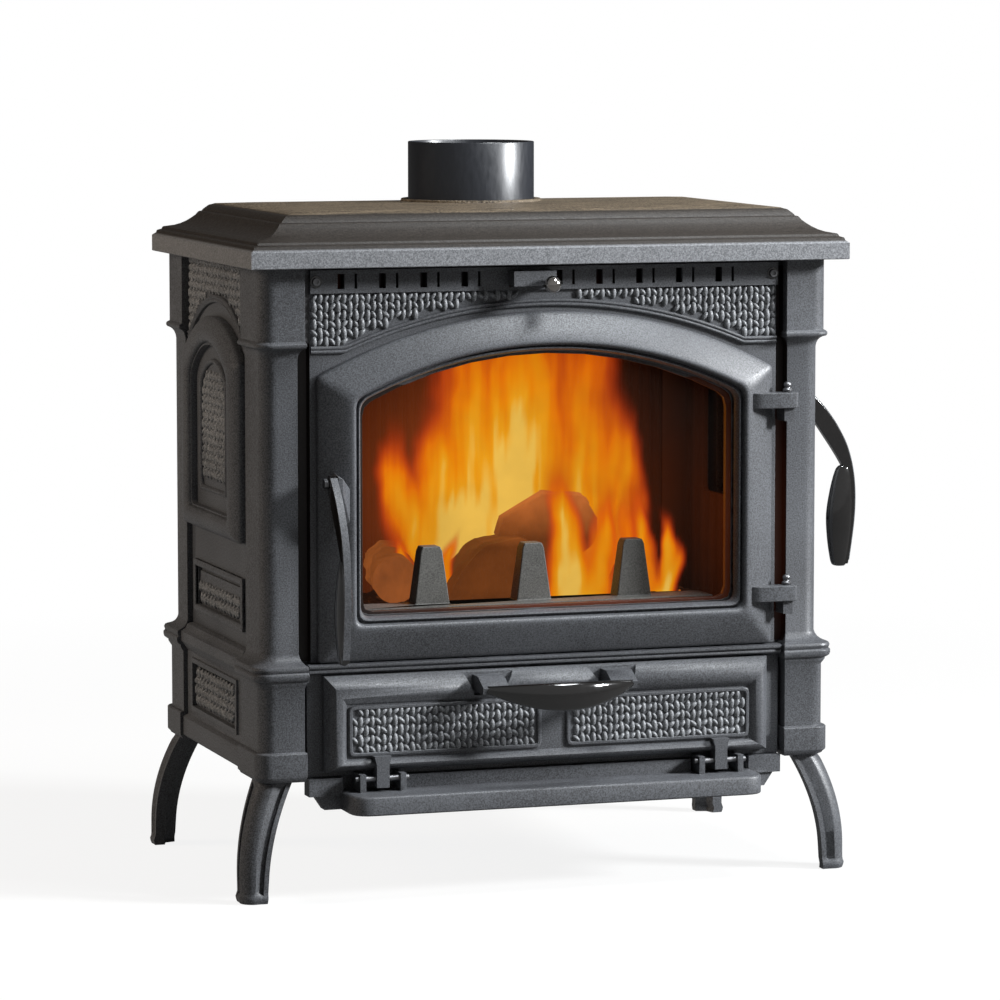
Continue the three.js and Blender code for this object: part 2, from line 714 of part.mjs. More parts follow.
// rolled frame round a sunk face, with two bordered panels, the handle's lugs and the hinge straps
function ashFlap() {
  const ring = (inset, y) => [
    [-FLAP_HALF_X + inset * 0.75, FLAP_BOTTOM + inset * 0.45],
    [FLAP_HALF_X - inset * 0.75, FLAP_BOTTOM + inset * 0.45],
    [FLAP_HALF_X - inset * 0.75, FLAP_TOP - inset], [-FLAP_HALF_X + inset * 0.75, FLAP_TOP - inset],
  ].map(([x, z]) => new THREE.Vector3(x, y, z));
  const roll = [
    [0, -189], [0, -197], [3, -201], [8, -207], [14, -211], [19, -212], [25, -210.5], [30, -207],
    [33, FLAP_FRONT],
  ];
  const body = loft(roll.map(([inset, y]) => ring(inset, y)));
  const notches = [-1, 1].map((side) => standing(outline([
    [side * 43, 257], [side * 107, 257], [side * 94, 228], [side * 63, 228],
  ]), -220, -200));
  const borders = FLAP_PANELS.map(([xLow, xHigh]) => flapBorder(xLow, xHigh, 163, 222));
  const straps = FLAP_HINGE_X.map(flapStrap);
  const lugSide = outline([[-199, 234], [-238, 232], [-240, 240], [-219, 251], [-199, 251]]);
  const lugs = FLAP_LUGS.map(([xLow, xHigh]) => sideways(lugSide, xLow, xHigh));
  const eyes = flapRod(0, 260, FLAP_PIN_RADIUS + GAP);
  return cut(join(cut(body, ...notches), ...borders, ...straps, ...lugs), eyes, flapHandle(0.35));
}

// raised border of a panel, with rounded corners
function flapBorder(xLow, xHigh, zLow, zHigh) {
  const ring = (inset, y) => {
    const corners = rectangle(xLow + inset, xHigh - inset, zLow + inset, zHigh - inset).getPoints();
    const turned = rounded(corners, [0, 1, 2, 3], 7 - inset * 0.8, 2);
    return turned.map((point) => new THREE.Vector3(point.x, y, point.y));
  };
  const back = FLAP_FRONT + 3;
  const section = [[0, back], [0, -206], [1.6, -207.2], [4, -207.2], [5, -206], [5, back]];
  return loft(section.map(([inset, y]) => ring(inset, y)), true);
}

// strap that runs down the flap's face to an eye below its edge
function flapStrap(x) {
  const plan = outline([
    [x - 7.5, 128], [x + 7.5, 128], [x + 7.5, 154], [x + 10, 164], [x - 10, 164], [x - 7.5, 154],
  ]);
  return standing(plan, FLAP_HINGE_Y - 6, FLAP_FRONT + 4);
}

// bowed handle between the lugs, thickest at the middle
function flapHandle(grow = 0) {
  const rings = [];
  const steps = 16;
  const half = 92 + grow;
  for (let i = 0; i <= steps; i += 1) {
    const t = 2 * i / steps - 1;
    const bow = 1 - t * t;
    const high = 3 + 13.5 * bow + grow;
    const deep = 3.5 + 4.5 * bow + grow;
    const middleY = FLAP_FRONT - 29 - 32 * bow;
    const middleZ = 238 - 8 * bow;
    const ring = [];
    for (let k = 0; k < 12; k += 1) {
      const angle = k * Math.PI / 6;
      ring.push(new THREE.Vector3(
        half * t, middleY + deep * Math.cos(angle), middleZ + high * Math.sin(angle),
      ));
    }
    rings.push(ring);
  }
  return loft(rings);
}

function flapRod(x, reach, radius) {
  const at = (end) => new THREE.Vector3(x + end, FLAP_HINGE_Y, FLAP_HINGE_Z);
  return rod(at(-reach), at(reach), radius, 14);
}

// hinge pin held between two ears of the shelf
function flapPin(x) {
  return flapRod(x, FLAP_EAR + 8, FLAP_PIN_RADIUS);
}

// ash shelf with rounded corners, the sill behind it with a pocket for each of the flap's hinges,
// its sloping end brackets, and the hinges' ears
function ashShelf() {
  const plan = (inset, z) => rounded(
    [
      [inset - SHELF_HALF_X, SHELF_FRONT + inset], [SHELF_HALF_X - inset, SHELF_FRONT + inset],
      [SHELF_HALF_X - inset, -176], [inset - SHELF_HALF_X, -176],
    ].map(([x, y]) => new THREE.Vector2(x, y)),
    [0, 1], 25 - inset, 5,
  ).map((point) => new THREE.Vector3(point.x, point.y, z));
  const plate = loft([
    plan(1.5, SHELF_BOTTOM), plan(0, SHELF_BOTTOM + 1.5), plan(0, SHELF_TOP - 3), plan(1, SHELF_TOP - 1),
    plan(3, SHELF_TOP),
  ]);
  const sill = box(-288, 288, -197, -177, 118, 138.6);
  const pockets = [-1, 1].map((side) => {
    const ends = [side * 176, side * 248].sort((first, second) => first - second);
    return box(...ends, -200, -184, SHELF_TOP, 142);
  });
  const brackets = [-1, 1].map((side) => standing(outline([
    [side * 288, 130], [side * 269, 102], [side * 246, 102], [side * 246, 130],
  ]), -194, -178));
  const ears = FLAP_HINGE_X.flatMap((x) => [x - FLAP_EAR, x + FLAP_EAR].map((earX) => (
    box(earX - 3.5, earX + 3.5, FLAP_HINGE_Y - 6.5, -189, 118, FLAP_HINGE_Z + 6)
  )));
  const pins = FLAP_HINGE_X.map((x) => flapRod(x, 50, FLAP_PIN_RADIUS + GAP));
  return cut(join(plate, cut(sill, ...pockets), ...brackets, ...ears), ...pins);
}

// ---------- sides ----------

// side casting behind the posts; the right-hand one has the mouth of the loading door
function sidePanel(side, openForDoor) {
  const low = SIDE_CENTRE_Y - 129;
  const high = SIDE_CENTRE_Y + 128;
  const flange = sideways(rectangle(-150, 180, 139, TOP_UNDER - GAP), 314, POST_X - WALL - GAP);
  const field = sideways(rectangle(low, high, BELT_TOP + 1, TOP_UNDER - GAP), 320, SIDE_X);
  const bays = [
    sideways(rectangle(SIDE_CENTRE_Y - 100, SIDE_CENTRE_Y + 100, 302, 352), SIDE_X - 4, SIDE_X + 5),
  ];
  const tablets = [
    sideways(rectangle(SIDE_CENTRE_Y - 93, SIDE_CENTRE_Y + 93, 309, 345), SIDE_X - 5, SIDE_X - 0.5),
  ];
  const hollow = box(300, SIDE_X - PLATE, low + PLATE, high - PLATE, BELT_TOP + PLATE, TOP_UNDER - PLATE);
  const casting = cut(join(flange, field), hollow, ...bays);
  let panel = join(casting, ...tablets, sideTrim(), sideFrameRing(302, 352, 104));
  if (openForDoor) panel = cut(panel, sideways(sideArch(SIDE_MOUTH), 300, 345));
  return side > 0 ? panel : mirrored(panel);
}

function sideArch(arch) {
  const points = archPoints(arch);
  return new THREE.Shape(points.map((point) => new THREE.Vector2(point.x + SIDE_CENTRE_Y, point.y)));
}

// raised border round a sunk tablet on a side
function sideFrameRing(zLow, zHigh, half) {
  const shape = rectangle(SIDE_CENTRE_Y - half - 5, SIDE_CENTRE_Y + half + 5, zLow - 6, zHigh + 6);
  shape.holes.push(rectangle(SIDE_CENTRE_Y - half + 3, SIDE_CENTRE_Y + half - 3, zLow + 1, zHigh - 1));
  return sideways(shape, SIDE_X - 2, SIDE_X + 4);
}

// beaded arch over the side's door or panel
function sideTrim() {
  const foot = { y: 122, z: 629 };
  const rise = 49;
  const bend = (foot.y ** 2 + rise ** 2) / (2 * rise);
  const sweep = Math.asin(foot.y / bend);
  const line = [new THREE.Vector2(-129, foot.z)];
  const steps = 14;
  for (let i = 0; i <= steps; i += 1) {
    const angle = sweep * (2 * i / steps - 1);
    line.push(new THREE.Vector2(bend * Math.sin(angle), foot.z + rise - bend + bend * Math.cos(angle)));
  }
  line.push(new THREE.Vector2(129, foot.z));
  const section = [[0, -2], [0, 3], [-2, 5], [-4, 3], [-6, 5], [-8, 3], [-8, -2]];
  return loft(line.map((point) => section.map(([drop, out]) => (
    new THREE.Vector3(SIDE_X + out, SIDE_CENTRE_Y + point.x, point.y + drop)
  ))));
}

function mirrored(geometry) {
  const flipped = geometry.clone();
  const index = flipped.getIndex();
  flipped.scale(-1, 1, 1);
  const turned = [];
  for (let i = 0; i < index.count; i += 3) turned.push(index.getX(i), index.getX(i + 2), index.getX(i + 1));
  flipped.setIndex(turned);
  return flipped;
}

// arched bull-nose casting: the loading door on the right, a blind panel on the left
function sideDoor(side) {
  const section = [
    [0, SIDE_DOOR_BACK], [0, 341], [0.08, 344.5], [0.25, 348.5], [0.5, 351], [0.72, 350.6], [0.88, 348.4],
    [0.94, 344], [1, 343.4], [1, SIDE_DOOR_BACK],
  ];
  const place = onSide(1);
  const frame = archFrame(SIDE_DOOR, SIDE_SIGHT, section, place);
  const sheet = sideways(sideArch(grown(SIDE_SIGHT, 4)), SIDE_DOOR_BACK, 338);
  const panelRim = archFrame(
    grown(SIDE_PANEL, 8), SIDE_PANEL,
    [[0, 337], [0, 339.5], [0.3, 342], [0.7, 342], [1, 339.5], [1, 337]], place,
  );
  const tablet = sideways(sideArch(grown(SIDE_PANEL, -2)), 337, 340.4);
  const pieces = [frame, sheet, panelRim, tablet];
  if (side < 0) return mirrored(join(...pieces));
  const arms = SIDE_HINGE_HEIGHTS.map((z) => lying(
    outline([
      [349, 100], [352, 112], [358, 122], [358, 150], [355, 155], [345, 155], [341.5, 150], [341.5, 130],
      [343, 112],
    ]), z - 8, z + 8,
  ));
  const eyes = SIDE_HINGE_HEIGHTS.map((z) => verticalRod(SIDE_HINGE_X, SIDE_HINGE_Y, z - 30, z + 30, 4.4));
  const pinHole = placeHandle(pivotRod(-8, 22, HANDLE_PIN_RADIUS + 0.4), SIDE_HANDLE);
  return cut(join(...pieces, ...arms, placeHandle(handleLug(-13), SIDE_HANDLE)), ...eyes, pinHole);
}

// moulded plinth between the pedestals: base rail, sunk panel and belt
function sidePlinth(side) {
  const section = [
    [POST_X - WALL, 139], [341, 139], [346, 143], [346, 165], [340, 168], [340, 246], [343, 250], [348, 257],
    [348, BELT_TOP - 1], [343, 271], [340, 277], [SIDE_X + 0.6, 279], [SIDE_X + 0.6, BELT_TOP],
    [POST_X - WALL, BELT_TOP],
  ];
  const bar = outline(section);
  const low = SIDE_CENTRE_Y - 129;
  const high = SIDE_CENTRE_Y + 128;
  const geometry = new THREE.ExtrudeGeometry(bar, { depth: high - low, bevelEnabled: false });
  geometry.rotateX(Math.PI / 2);
  geometry.translate(0, high, 0);
  const bay = sideways(rectangle(SIDE_CENTRE_Y - 96, SIDE_CENTRE_Y + 96, 182, 234), 336, 345);
  const tablet = sideways(rectangle(SIDE_CENTRE_Y - 91, SIDE_CENTRE_Y + 91, 187, 229), 335, 339);
  const border = sideways(rectangle(SIDE_CENTRE_Y - 102, SIDE_CENTRE_Y + 102, 176, 240), 338, 343);
  const inner = sideways(rectangle(SIDE_CENTRE_Y - 96, SIDE_CENTRE_Y + 96, 182, 234), 330, 350);
  const plinth = join(cut(geometry, bay), tablet, cut(border, inner));
  return side > 0 ? plinth : mirrored(plinth);
}

// fixed eye under a side arm, against the back post
function sideHingeLug(zTop) {
  const lug = box(POST_X + GAP, SIDE_HINGE_X + 7, SIDE_HINGE_Y - 5.5, SIDE_HINGE_Y + 5.5, zTop - 14, zTop);
  return cut(lug, verticalRod(SIDE_HINGE_X, SIDE_HINGE_Y, zTop - 20, zTop + 5, 4.4));
}

// ---------- inside ----------

function grate() {
  const slots = [];
  for (let i = 0; i < 9; i += 1) {
    const x = -89 + i * 21;
    slots.push(box(x, x + 10, -68, 88, 275, 295));
  }
  return cut(box(-110, 110, -80, 100, 281, 289), ...slots);
}

// cast hearth with a recess for the grate
function hearth() {
  const plate = box(-312, 312, -164, 186, 274, 286);
  const seat = box(-112, 112, -82, 102, 280.6, 290);
  const drop = box(-100, 100, -72, 92, 270, 290);
  return cut(plate, seat, drop);
}

// ribbed lining plate; ribs run up and down
function ribbedLining(length, zLow, zHigh, ribs) {
  const shape = [new THREE.Vector2(-length / 2, 0), new THREE.Vector2(-length / 2, -6)];
  const pitch = length / ribs;
  for (let i = 0; i < ribs; i += 1) {
    const x = -length / 2 + i * pitch;
    shape.push(
      new THREE.Vector2(x + pitch * 0.25, -6), new THREE.Vector2(x + pitch * 0.35, -10),
      new THREE.Vector2(x + pitch * 0.65, -10), new THREE.Vector2(x + pitch * 0.75, -6),
    );
  }
  shape.push(new THREE.Vector2(length / 2, -6), new THREE.Vector2(length / 2, 0));
  return lying(new THREE.Shape(shape), zLow, zHigh);
}

// ledge along the foot of the glass, with three tapering posts that keep the logs off it
function logGuard() {
  const bar = box(-215, 215, -146, -118, 286.5, 322);
  const ledge = box(-215, 215, -166, -118, 319, 326.6);
  const posts = [-124, 0, 124].map((x) => {
    const foot = [[-21, -13], [21, -13], [21, 13], [-21, 13]];
    const ring = (k, z) => foot.map(
      ([px, py]) => new THREE.Vector3(x + px * k, -132 + py * (0.5 + k / 2), z),
    );
    return loft([ring(1, 324), ring(0.98, 330), ring(0.62, 387), ring(0.5, 393)]);
  });
  return join(bar, ledge, ...posts);
}

function backLining() {
  const lining = ribbedLining(560, 287, LINING_TOP, 20);
  lining.translate(0, 186.6, 0);
  return lining;
}

function sideLining(side) {
  const lining = ribbedLining(320, 287, LINING_TOP, 11);
  lining.rotateZ(-Math.PI / 2);
  lining.translate(313, 12, 0);
  if (side < 0) return mirrored(cut(lining));
  return cut(lining, sideways(sideArch(SIDE_MOUTH), 290, 320));
}

// plate across the top of the fire chamber, its front edge turned up
function baffle() {
  const low = LINING_TOP + GAP;
  const shape = outline([[-110, low], [150, low], [150, low + 8], [-100, low + 8], [-110, low + 18]]);
  return sideways(shape, -311, 311);
}

// rail on the base plate that carries one edge of the drawer
function drawerRunner(side) {
  const middle = side * 224;
  return box(middle - 10, middle + 10, -160, 160, 147.4, DRAWER_BOTTOM - GAP);
}

// open-topped ash drawer with a finger lip along its front
function ashDrawer() {
  const shell = box(-236, 236, -149, 156, DRAWER_BOTTOM, 232);
  const hollow = box(-234, 234, -147, 154, DRAWER_BOTTOM + 2, 240);
  const lip = box(-60, 60, -158, -148, 226, 232);
  return join(cut(shell, hollow), lip);
}

// back casting with a raised field between the posts
function backPanel() {
  const flange = standing(rectangle(-322, 322, 139, TOP_UNDER - GAP), 187, 196.6);
  const field = standing(rectangle(-286, 286, 150, 708), 190, 203);
  const hollow = box(PLATE - 286, 286 - PLATE, 180, 203 - PLATE, 150 + PLATE, 708 - PLATE);
  return cut(join(flange, field), hollow);
}

// ---------- the pieces ----------

addPiece('top_plate', topPlate(), castIron);
addPiece('flue_pipe', fluePipe(), fluePaint);

for (const [sideY, row] of [[-1, 'front'], [1, 'back']]) {
  for (const [sideX, hand] of [[-1, 'left'], [1, 'right']]) {
    addPiece(`post_${row}_${hand}`, cornerPost(sideX, sideY), castIron);
    addPiece(`leg_${row}_${hand}`, leg(sideX, sideY), castIron);
  }
}

addPiece('front_plate', frontPlate(), castIron);
addPiece('front_belt', frontBelt(), castIron);
addPiece('arch_trim', archTrim(), castIron);
addPiece('vent_strip', ventStrip(), castIron);
addPiece('vent_screw_left', ventScrew(-VENT_SCREW_X), steel);
addPiece('vent_screw_right', ventScrew(VENT_SCREW_X), steel);
addPiece('air_slider', airSlider(), castIron);
addPiece('air_knob', airKnob(), chrome);

addPiece('fire_door', fireDoor(), castIron);
addPiece('door_glass', archPlate(7, -196.6, -192.6), ceramicGlass);
addPiece('glass_retainer', archPlate(9.5, -192.2, -190.2, -3), steel);
addPiece('door_seal', doorSeal(), sealRope);
HINGE_HEIGHTS.forEach((z, i) => {
  const level = ['upper', 'lower'][i];
  addPiece(`door_hinge_lug_${level}`, hingeLug(DOOR_HINGE_X, DOOR_HINGE_Y, z - 9.4, -176), castIron);
  addPiece(`door_hinge_pin_${level}`, hingePin(DOOR_HINGE_X, DOOR_HINGE_Y, z - 23, z + 9.6), steel);
});
addPiece('door_handle', placeHandle(handleStrap(), DOOR_HANDLE), castIron);
addPiece('door_handle_grip', placeHandle(handleGrip(), DOOR_HANDLE), blackEnamel);
addPiece('door_handle_pin', placeHandle(handlePin(), DOOR_HANDLE), steel);

addPiece('left_panel', sidePanel(-1, false), castIron);
addPiece('left_arch_panel', sideDoor(-1), castIron);
addPiece('left_plinth', sidePlinth(-1), castIron);
addPiece('right_panel', sidePanel(1, true), castIron);
addPiece('side_door', sideDoor(1), castIron);
addPiece('right_plinth', sidePlinth(1), castIron);
SIDE_HINGE_HEIGHTS.forEach((z, i) => {
  const level = ['upper', 'lower'][i];
  addPiece(`side_hinge_lug_${level}`, sideHingeLug(z - 8.4), castIron);
  addPiece(`side_hinge_pin_${level}`, hingePin(SIDE_HINGE_X, SIDE_HINGE_Y, z - 22, z + 8.6), steel);
});
addPiece('side_handle', placeHandle(handleStrap(), SIDE_HANDLE), castIron);
addPiece('side_handle_grip', placeHandle(handleGrip(), SIDE_HANDLE), blackEnamel);
addPiece('side_handle_pin', placeHandle(handlePin(), SIDE_HANDLE), steel);

addPiece('ash_flap', ashFlap(), castIron);
addPiece('ash_flap_handle', flapHandle(), blackEnamel);
addPiece('flap_pin_left', flapPin(FLAP_HINGE_X[0]), steel);
addPiece('flap_pin_right', flapPin(FLAP_HINGE_X[1]), steel);
addPiece('ash_shelf', ashShelf(), castIron);
addPiece('ash_drawer', ashDrawer(), steel);

addPiece('drawer_runner_left', drawerRunner(-1), castIron);
addPiece('drawer_runner_right', drawerRunner(1), castIron);

addPiece('back_panel', backPanel(), castIron);
addPiece('base_plate', box(-312, 312, -166, 186, 139, 147), castIron);
addPiece('hearth', hearth(), castIron);
addPiece('grate', grate(), castIron);
addPiece('log_guard', logGuard(), castIron);
addPiece('baffle', baffle(), castIron);
addPiece('back_lining', backLining(), castIron);
addPiece('left_lining', sideLining(-1), castIron);
addPiece('right_lining', sideLining(1), castIron);

export default stove;
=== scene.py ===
import json
import math

import bmesh
import bpy
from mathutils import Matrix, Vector, noise


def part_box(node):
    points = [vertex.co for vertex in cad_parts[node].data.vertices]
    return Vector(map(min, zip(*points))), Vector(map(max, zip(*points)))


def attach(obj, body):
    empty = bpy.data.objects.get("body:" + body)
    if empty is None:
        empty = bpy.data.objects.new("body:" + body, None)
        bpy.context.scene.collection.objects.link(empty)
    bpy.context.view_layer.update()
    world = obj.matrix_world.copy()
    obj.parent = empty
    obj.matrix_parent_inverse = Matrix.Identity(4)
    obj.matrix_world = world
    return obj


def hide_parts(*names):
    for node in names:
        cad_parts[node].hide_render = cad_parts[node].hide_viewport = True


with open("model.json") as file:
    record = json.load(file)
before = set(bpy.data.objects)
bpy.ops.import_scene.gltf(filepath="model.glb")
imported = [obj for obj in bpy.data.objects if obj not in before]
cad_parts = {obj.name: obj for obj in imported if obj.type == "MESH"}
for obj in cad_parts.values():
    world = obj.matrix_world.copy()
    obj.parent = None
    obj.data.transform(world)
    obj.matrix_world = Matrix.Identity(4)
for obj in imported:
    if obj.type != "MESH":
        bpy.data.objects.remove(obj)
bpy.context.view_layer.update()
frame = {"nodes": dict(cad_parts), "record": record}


# ---- Studio ----
# A pale floor, and white surroundings that only the camera, glass and gloss see, gloss less brightly.
# A large cool lamp stands high on the right, a small one hangs over the front, and a weak warm one
# stands on the left, a little behind.

camera = bpy.data.objects.new("studio_camera", bpy.data.cameras.new("studio_camera"))
camera.location = (-1.767, -5.195, 1.011)
camera.rotation_euler = (math.radians(90 - 6.04), 0, math.radians(-18.52))
camera.data.lens = 167.54
camera.data.sensor_width = 36
camera.data.clip_end = 60
bpy.context.scene.collection.objects.link(camera)
bpy.context.scene.camera = camera
bpy.context.scene.view_settings.view_transform = "Standard"


def softbox(name, place, target, size, power, colour, mirrored=True):
    """A rectangular lamp that the camera doesn't see; gloss shows it if it is mirrored."""
    lamp = bpy.data.lights.new(name, "AREA")
    lamp.shape = "RECTANGLE"
    lamp.size, lamp.size_y = size
    lamp.energy = power
    lamp.color = colour
    holder = bpy.data.objects.new(name, lamp)
    holder.location = place
    holder.rotation_euler = (Vector(target) - Vector(place)).to_track_quat("-Z", "Y").to_euler()
    holder.visible_camera = False
    holder.visible_glossy = mirrored
    bpy.context.scene.collection.objects.link(holder)


softbox("key_softbox", (3.8, -2.15, 2.3), (0, 0, 0.5), (0.8, 0.8), 450, (0.95, 0.975, 1.0))
softbox("top_softbox", (0.45, -0.65, 1.78), (0, -0.1, 0.6), (0.45, 0.35), 20, (0.93, 0.97, 1.0))
softbox("left_fill", (-3.0, 0.9, 1.5), (0, 0, 0.5), (1.0, 1.2), 52, (1.0, 0.84, 0.68), mirrored=False)


class Value:
    """The output of a node, for use in sums."""

    def __init__(self, maker, socket):
        self.maker = maker
        self.socket = socket

    def also(self, name):
        """Another output of the same node."""
        return Value(self.maker, self.socket.node.outputs[name])

    def maths(self, operation, first, second):
        return self.maker.node("ShaderNodeMath", {"operation": operation}, {0: first, 1: second})

    def __add__(self, other):
        return self.maths("ADD", self, other)

    def __radd__(self, other):
        return self.maths("ADD", other, self)

    def __sub__(self, other):
        return self.maths("SUBTRACT", self, other)

    def __rsub__(self, other):
        return self.maths("SUBTRACT", other, self)

    def __mul__(self, other):
        return self.maths("MULTIPLY", self, other)

    def __truediv__(self, other):
        return self.maths("DIVIDE", self, other)

    def __mod__(self, other):
        return self.maths("MODULO", self, other)

    def whole(self):
        return self.maths("FLOOR", self, 0)


class Nodes:
    """A node tree in the making."""

    def __init__(self, tree):
        self.tree = tree

    def feed(self, socket, value):
        """A Value is linked to the socket, and anything else is set on it."""
        if isinstance(value, Value):
            self.tree.links.new(value.socket, socket)
        else:
            socket.default_value = value

    def node(self, kind, settings=None, sockets=None, out=0):
        """A new node with its settings and sockets filled in. Returns its output out, or the node itself."""
        made = self.tree.nodes.new(kind)
        for setting, value in (settings or {}).items():
            if setting == "stops":
                ramp = made.color_ramp
                ramp.elements.remove(ramp.elements[1])
                ramp.elements[0].position, ramp.elements[0].color = value[0]
                for position, colour in value[1:]:
                    ramp.elements.new(position).color = colour
            else:
                setattr(made, setting, value)
        for socket, value in (sockets or {}).items():
            self.feed(made.inputs[socket], value)
        return made if out is None else Value(self, made.outputs[out])

    def vector(self, operation, first, second):
        return self.node("ShaderNodeVectorMath", {"operation": operation}, {0: first, 1: second})


class Finish(Nodes):
    """One material of the stove, with what its surface shader is fed."""

    def __init__(self, name, slot=None, **sockets):
        self.material = bpy.data.materials.new(name)
        self.material.use_nodes = True
        super().__init__(self.material.node_tree)
        self.slot = slot
        self.surface = self.tree.nodes["Principled BSDF"]
        for socket, value in sockets.items():
            self.paint(socket.replace("_", " "), value)

    def paint(self, socket, value):
        self.feed(self.surface.inputs[socket], value)

    def axis(self, letter):
        here = self.node("ShaderNodeTexCoord", out="Object")
        return self.node("ShaderNodeSeparateXYZ", {}, {0: here}, out=letter)

    def grain(self, scale, detail=2.0, roughness=0.5, stretch=(1, 1, 1)):
        """Noise on the piece's own metres, stretched by a factor along each axis."""
        here = self.node("ShaderNodeTexCoord", out="Object")
        here = self.node("ShaderNodeMapping", {}, {"Vector": here, "Scale": stretch})
        return self.node("ShaderNodeTexNoise", {}, {
            "Vector": here, "Scale": scale, "Detail": detail, "Roughness": roughness})

    def span(self, value, low, high, to_low=0.0, to_high=1.0):
        """value from low..high brought to to_low..to_high, and held there."""
        return self.node("ShaderNodeMapRange", {"clamp": True}, {
            0: value, 1: low, 2: high, 3: to_low, 4: to_high})

    def between(self, value, low, high, soft=0.0004):
        """1 where value is from low to high, and 0 elsewhere."""
        return self.span(value, low - soft, low) * self.span(value, high, high + soft, 1.0, 0.0)

    def blend(self, factor, first, second):
        """The first colour where factor is 0, the second where it is 1."""
        return self.node("ShaderNodeMix", {"data_type": "RGBA"}, {0: factor, 6: first, 7: second}, out=2)

    def bump(self, height, distance):
        return self.node("ShaderNodeBump", {}, {"Height": height, "Distance": distance})


def srgb(red, green, blue):
    """Colour written as it looks, 0..255, as the linear colour that shaders take."""
    def linear(level):
        level /= 255
        return level / 12.92 if level <= 0.04045 else ((level + 0.055) / 1.055) ** 2.4
    return linear(red), linear(green), linear(blue), 1.0


def seen_directly(nodes):
    """1 for rays from the camera, gloss and glass, 0 for the rays that light the stove."""
    camera_ray = nodes.node("ShaderNodeLightPath", out="Is Camera Ray")
    rays = camera_ray + camera_ray.also("Is Glossy Ray") + camera_ray.also("Is Transmission Ray")
    return rays.maths("MINIMUM", rays, 1.0)


ROOM = {"dim": 0.025, "turn": (-0.6, 0.6), "gloss_loses": (0.7, 0.93)}
FLOOR = {"half": 14, "z": -0.0005, "fade": (0.8, 2.4), "shown": (0.87, 1.0), "gloss_loses": 0.8}

world = bpy.data.worlds.new("studio")
world.use_nodes = True
world.node_tree.nodes.clear()
bpy.context.scene.world = world
room = Nodes(world.node_tree)
direction = room.node("ShaderNodeTexCoord", out="Generated")
heading = room.node("ShaderNodeSeparateXYZ", {}, {0: direction}, out="Y")
(turn_from, turn_to), (near_loss, far_loss) = ROOM["turn"], ROOM["gloss_loses"]
shade = room.node("ShaderNodeMapRange", {"clamp": True}, {
    0: heading, 1: turn_from, 2: turn_to, 3: near_loss, 4: far_loss})
glossy = room.node("ShaderNodeLightPath", out="Is Glossy Ray")
dim = room.node("ShaderNodeBackground", {}, {"Color": (1.0, 0.97, 0.93, 1), "Strength": ROOM["dim"]})
white = room.node("ShaderNodeBackground", {}, {"Color": (1, 1, 1, 1), "Strength": 1.0 - glossy * shade})
walls = room.node("ShaderNodeMixShader", {}, {0: seen_directly(room), 1: dim, 2: white})
room.feed(world.node_tree.nodes.new("ShaderNodeOutputWorld").inputs[0], walls)

pale_floor = Finish("pale_floor", None, Roughness=0.9)
by_camera = pale_floor.node("ShaderNodeLightPath", out="Is Camera Ray")
floor_colour = pale_floor.blend(by_camera, (0.2, 0.2, 0.198, 1), (0.92, 0.92, 0.91, 1))
pale_floor.paint("Base Color", floor_colour)
mirrored = pale_floor.node("ShaderNodeLightPath", out="Is Glossy Ray")
floor_glow = pale_floor.node("ShaderNodeEmission", {}, {
    0: (1, 1, 1, 1), 1: 1.0 - mirrored * FLOOR["gloss_loses"]})
floor_body = Value(pale_floor, pale_floor.surface.outputs[0])
spot = pale_floor.node("ShaderNodeTexCoord", out="Object")
away = pale_floor.node("ShaderNodeVectorMath", {"operation": "LENGTH"}, {0: spot}, out="Value")
glowing = seen_directly(pale_floor) * pale_floor.span(away, *FLOOR["fade"], *FLOOR["shown"])
floor_look = pale_floor.node("ShaderNodeMixShader", {}, {0: glowing, 1: floor_body, 2: floor_glow})
pale_floor.feed(pale_floor.tree.nodes["Material Output"].inputs[0], floor_look)

floor_mesh = bpy.data.meshes.new("studio_floor")
floor_corners = [(x * FLOOR["half"], y * FLOOR["half"], FLOOR["z"])
                 for x, y in ((-1, -1), (1, -1), (1, 1), (-1, 1))]
floor_mesh.from_pydata(floor_corners, [], [(0, 1, 2, 3)])
floor_mesh.materials.append(pale_floor.material)
floor = bpy.data.objects.new("studio_floor", floor_mesh)
bpy.context.scene.collection.objects.link(floor)


# ---- Top casting ----
# Crowned cover plate of cast iron: a square edge band, two thin beads, a cove and a rough flat,
# with a stepped seat for the flue. It lies loose on the posts. The paint is matt stove enamel.

MM = 0.001
plate_low, plate_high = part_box("top_plate")
MIDDLE = Vector(((plate_low.x + plate_high.x) / 2, (plate_low.y + plate_high.y) / 2, 0))
BODY_OF = {node: body for body, nodes in frame["record"]["behaviour"]["bodies"].items() for node in nodes}

# the fire's middle, how far its painted light reaches, and the two rooms in which iron has soot and painted
# firelight, in metres
FIRE = MIDDLE + Vector((0.04, 0.03, 0.41))
SOOT_AND_FIRELIGHT = {"dark": srgb(14, 9, 7), "light": srgb(32, 19, 13), "glow": (0.8, 0.145, 0.028, 1),
        "reach": 0.345, "reach_on_iron": 0.372, "reach_in_side_mouth": 0.37}
CHAMBER = {"half": 0.314, "along": (-0.1874, 0.199), "height": (0.272, 0.712)}
DOOR_MOUTH = {"half": 0.231, "along": (-0.1937, -0.18), "height": (0.318, 0.585)}


def fire_light(finish, glow=SOOT_AND_FIRELIGHT["glow"], reach=SOOT_AND_FIRELIGHT["reach"]):
    """Painted firelight: an emission colour that falls off with the distance from the fire."""
    here = finish.node("ShaderNodeTexCoord", out="Object")
    gap = finish.node("ShaderNodeVectorMath", {"operation": "DISTANCE"}, {0: here, 1: FIRE}, out="Value")
    near = finish.span(gap, reach, 0.0)
    return finish.blend(near * near, (0, 0, 0, 1), glow)


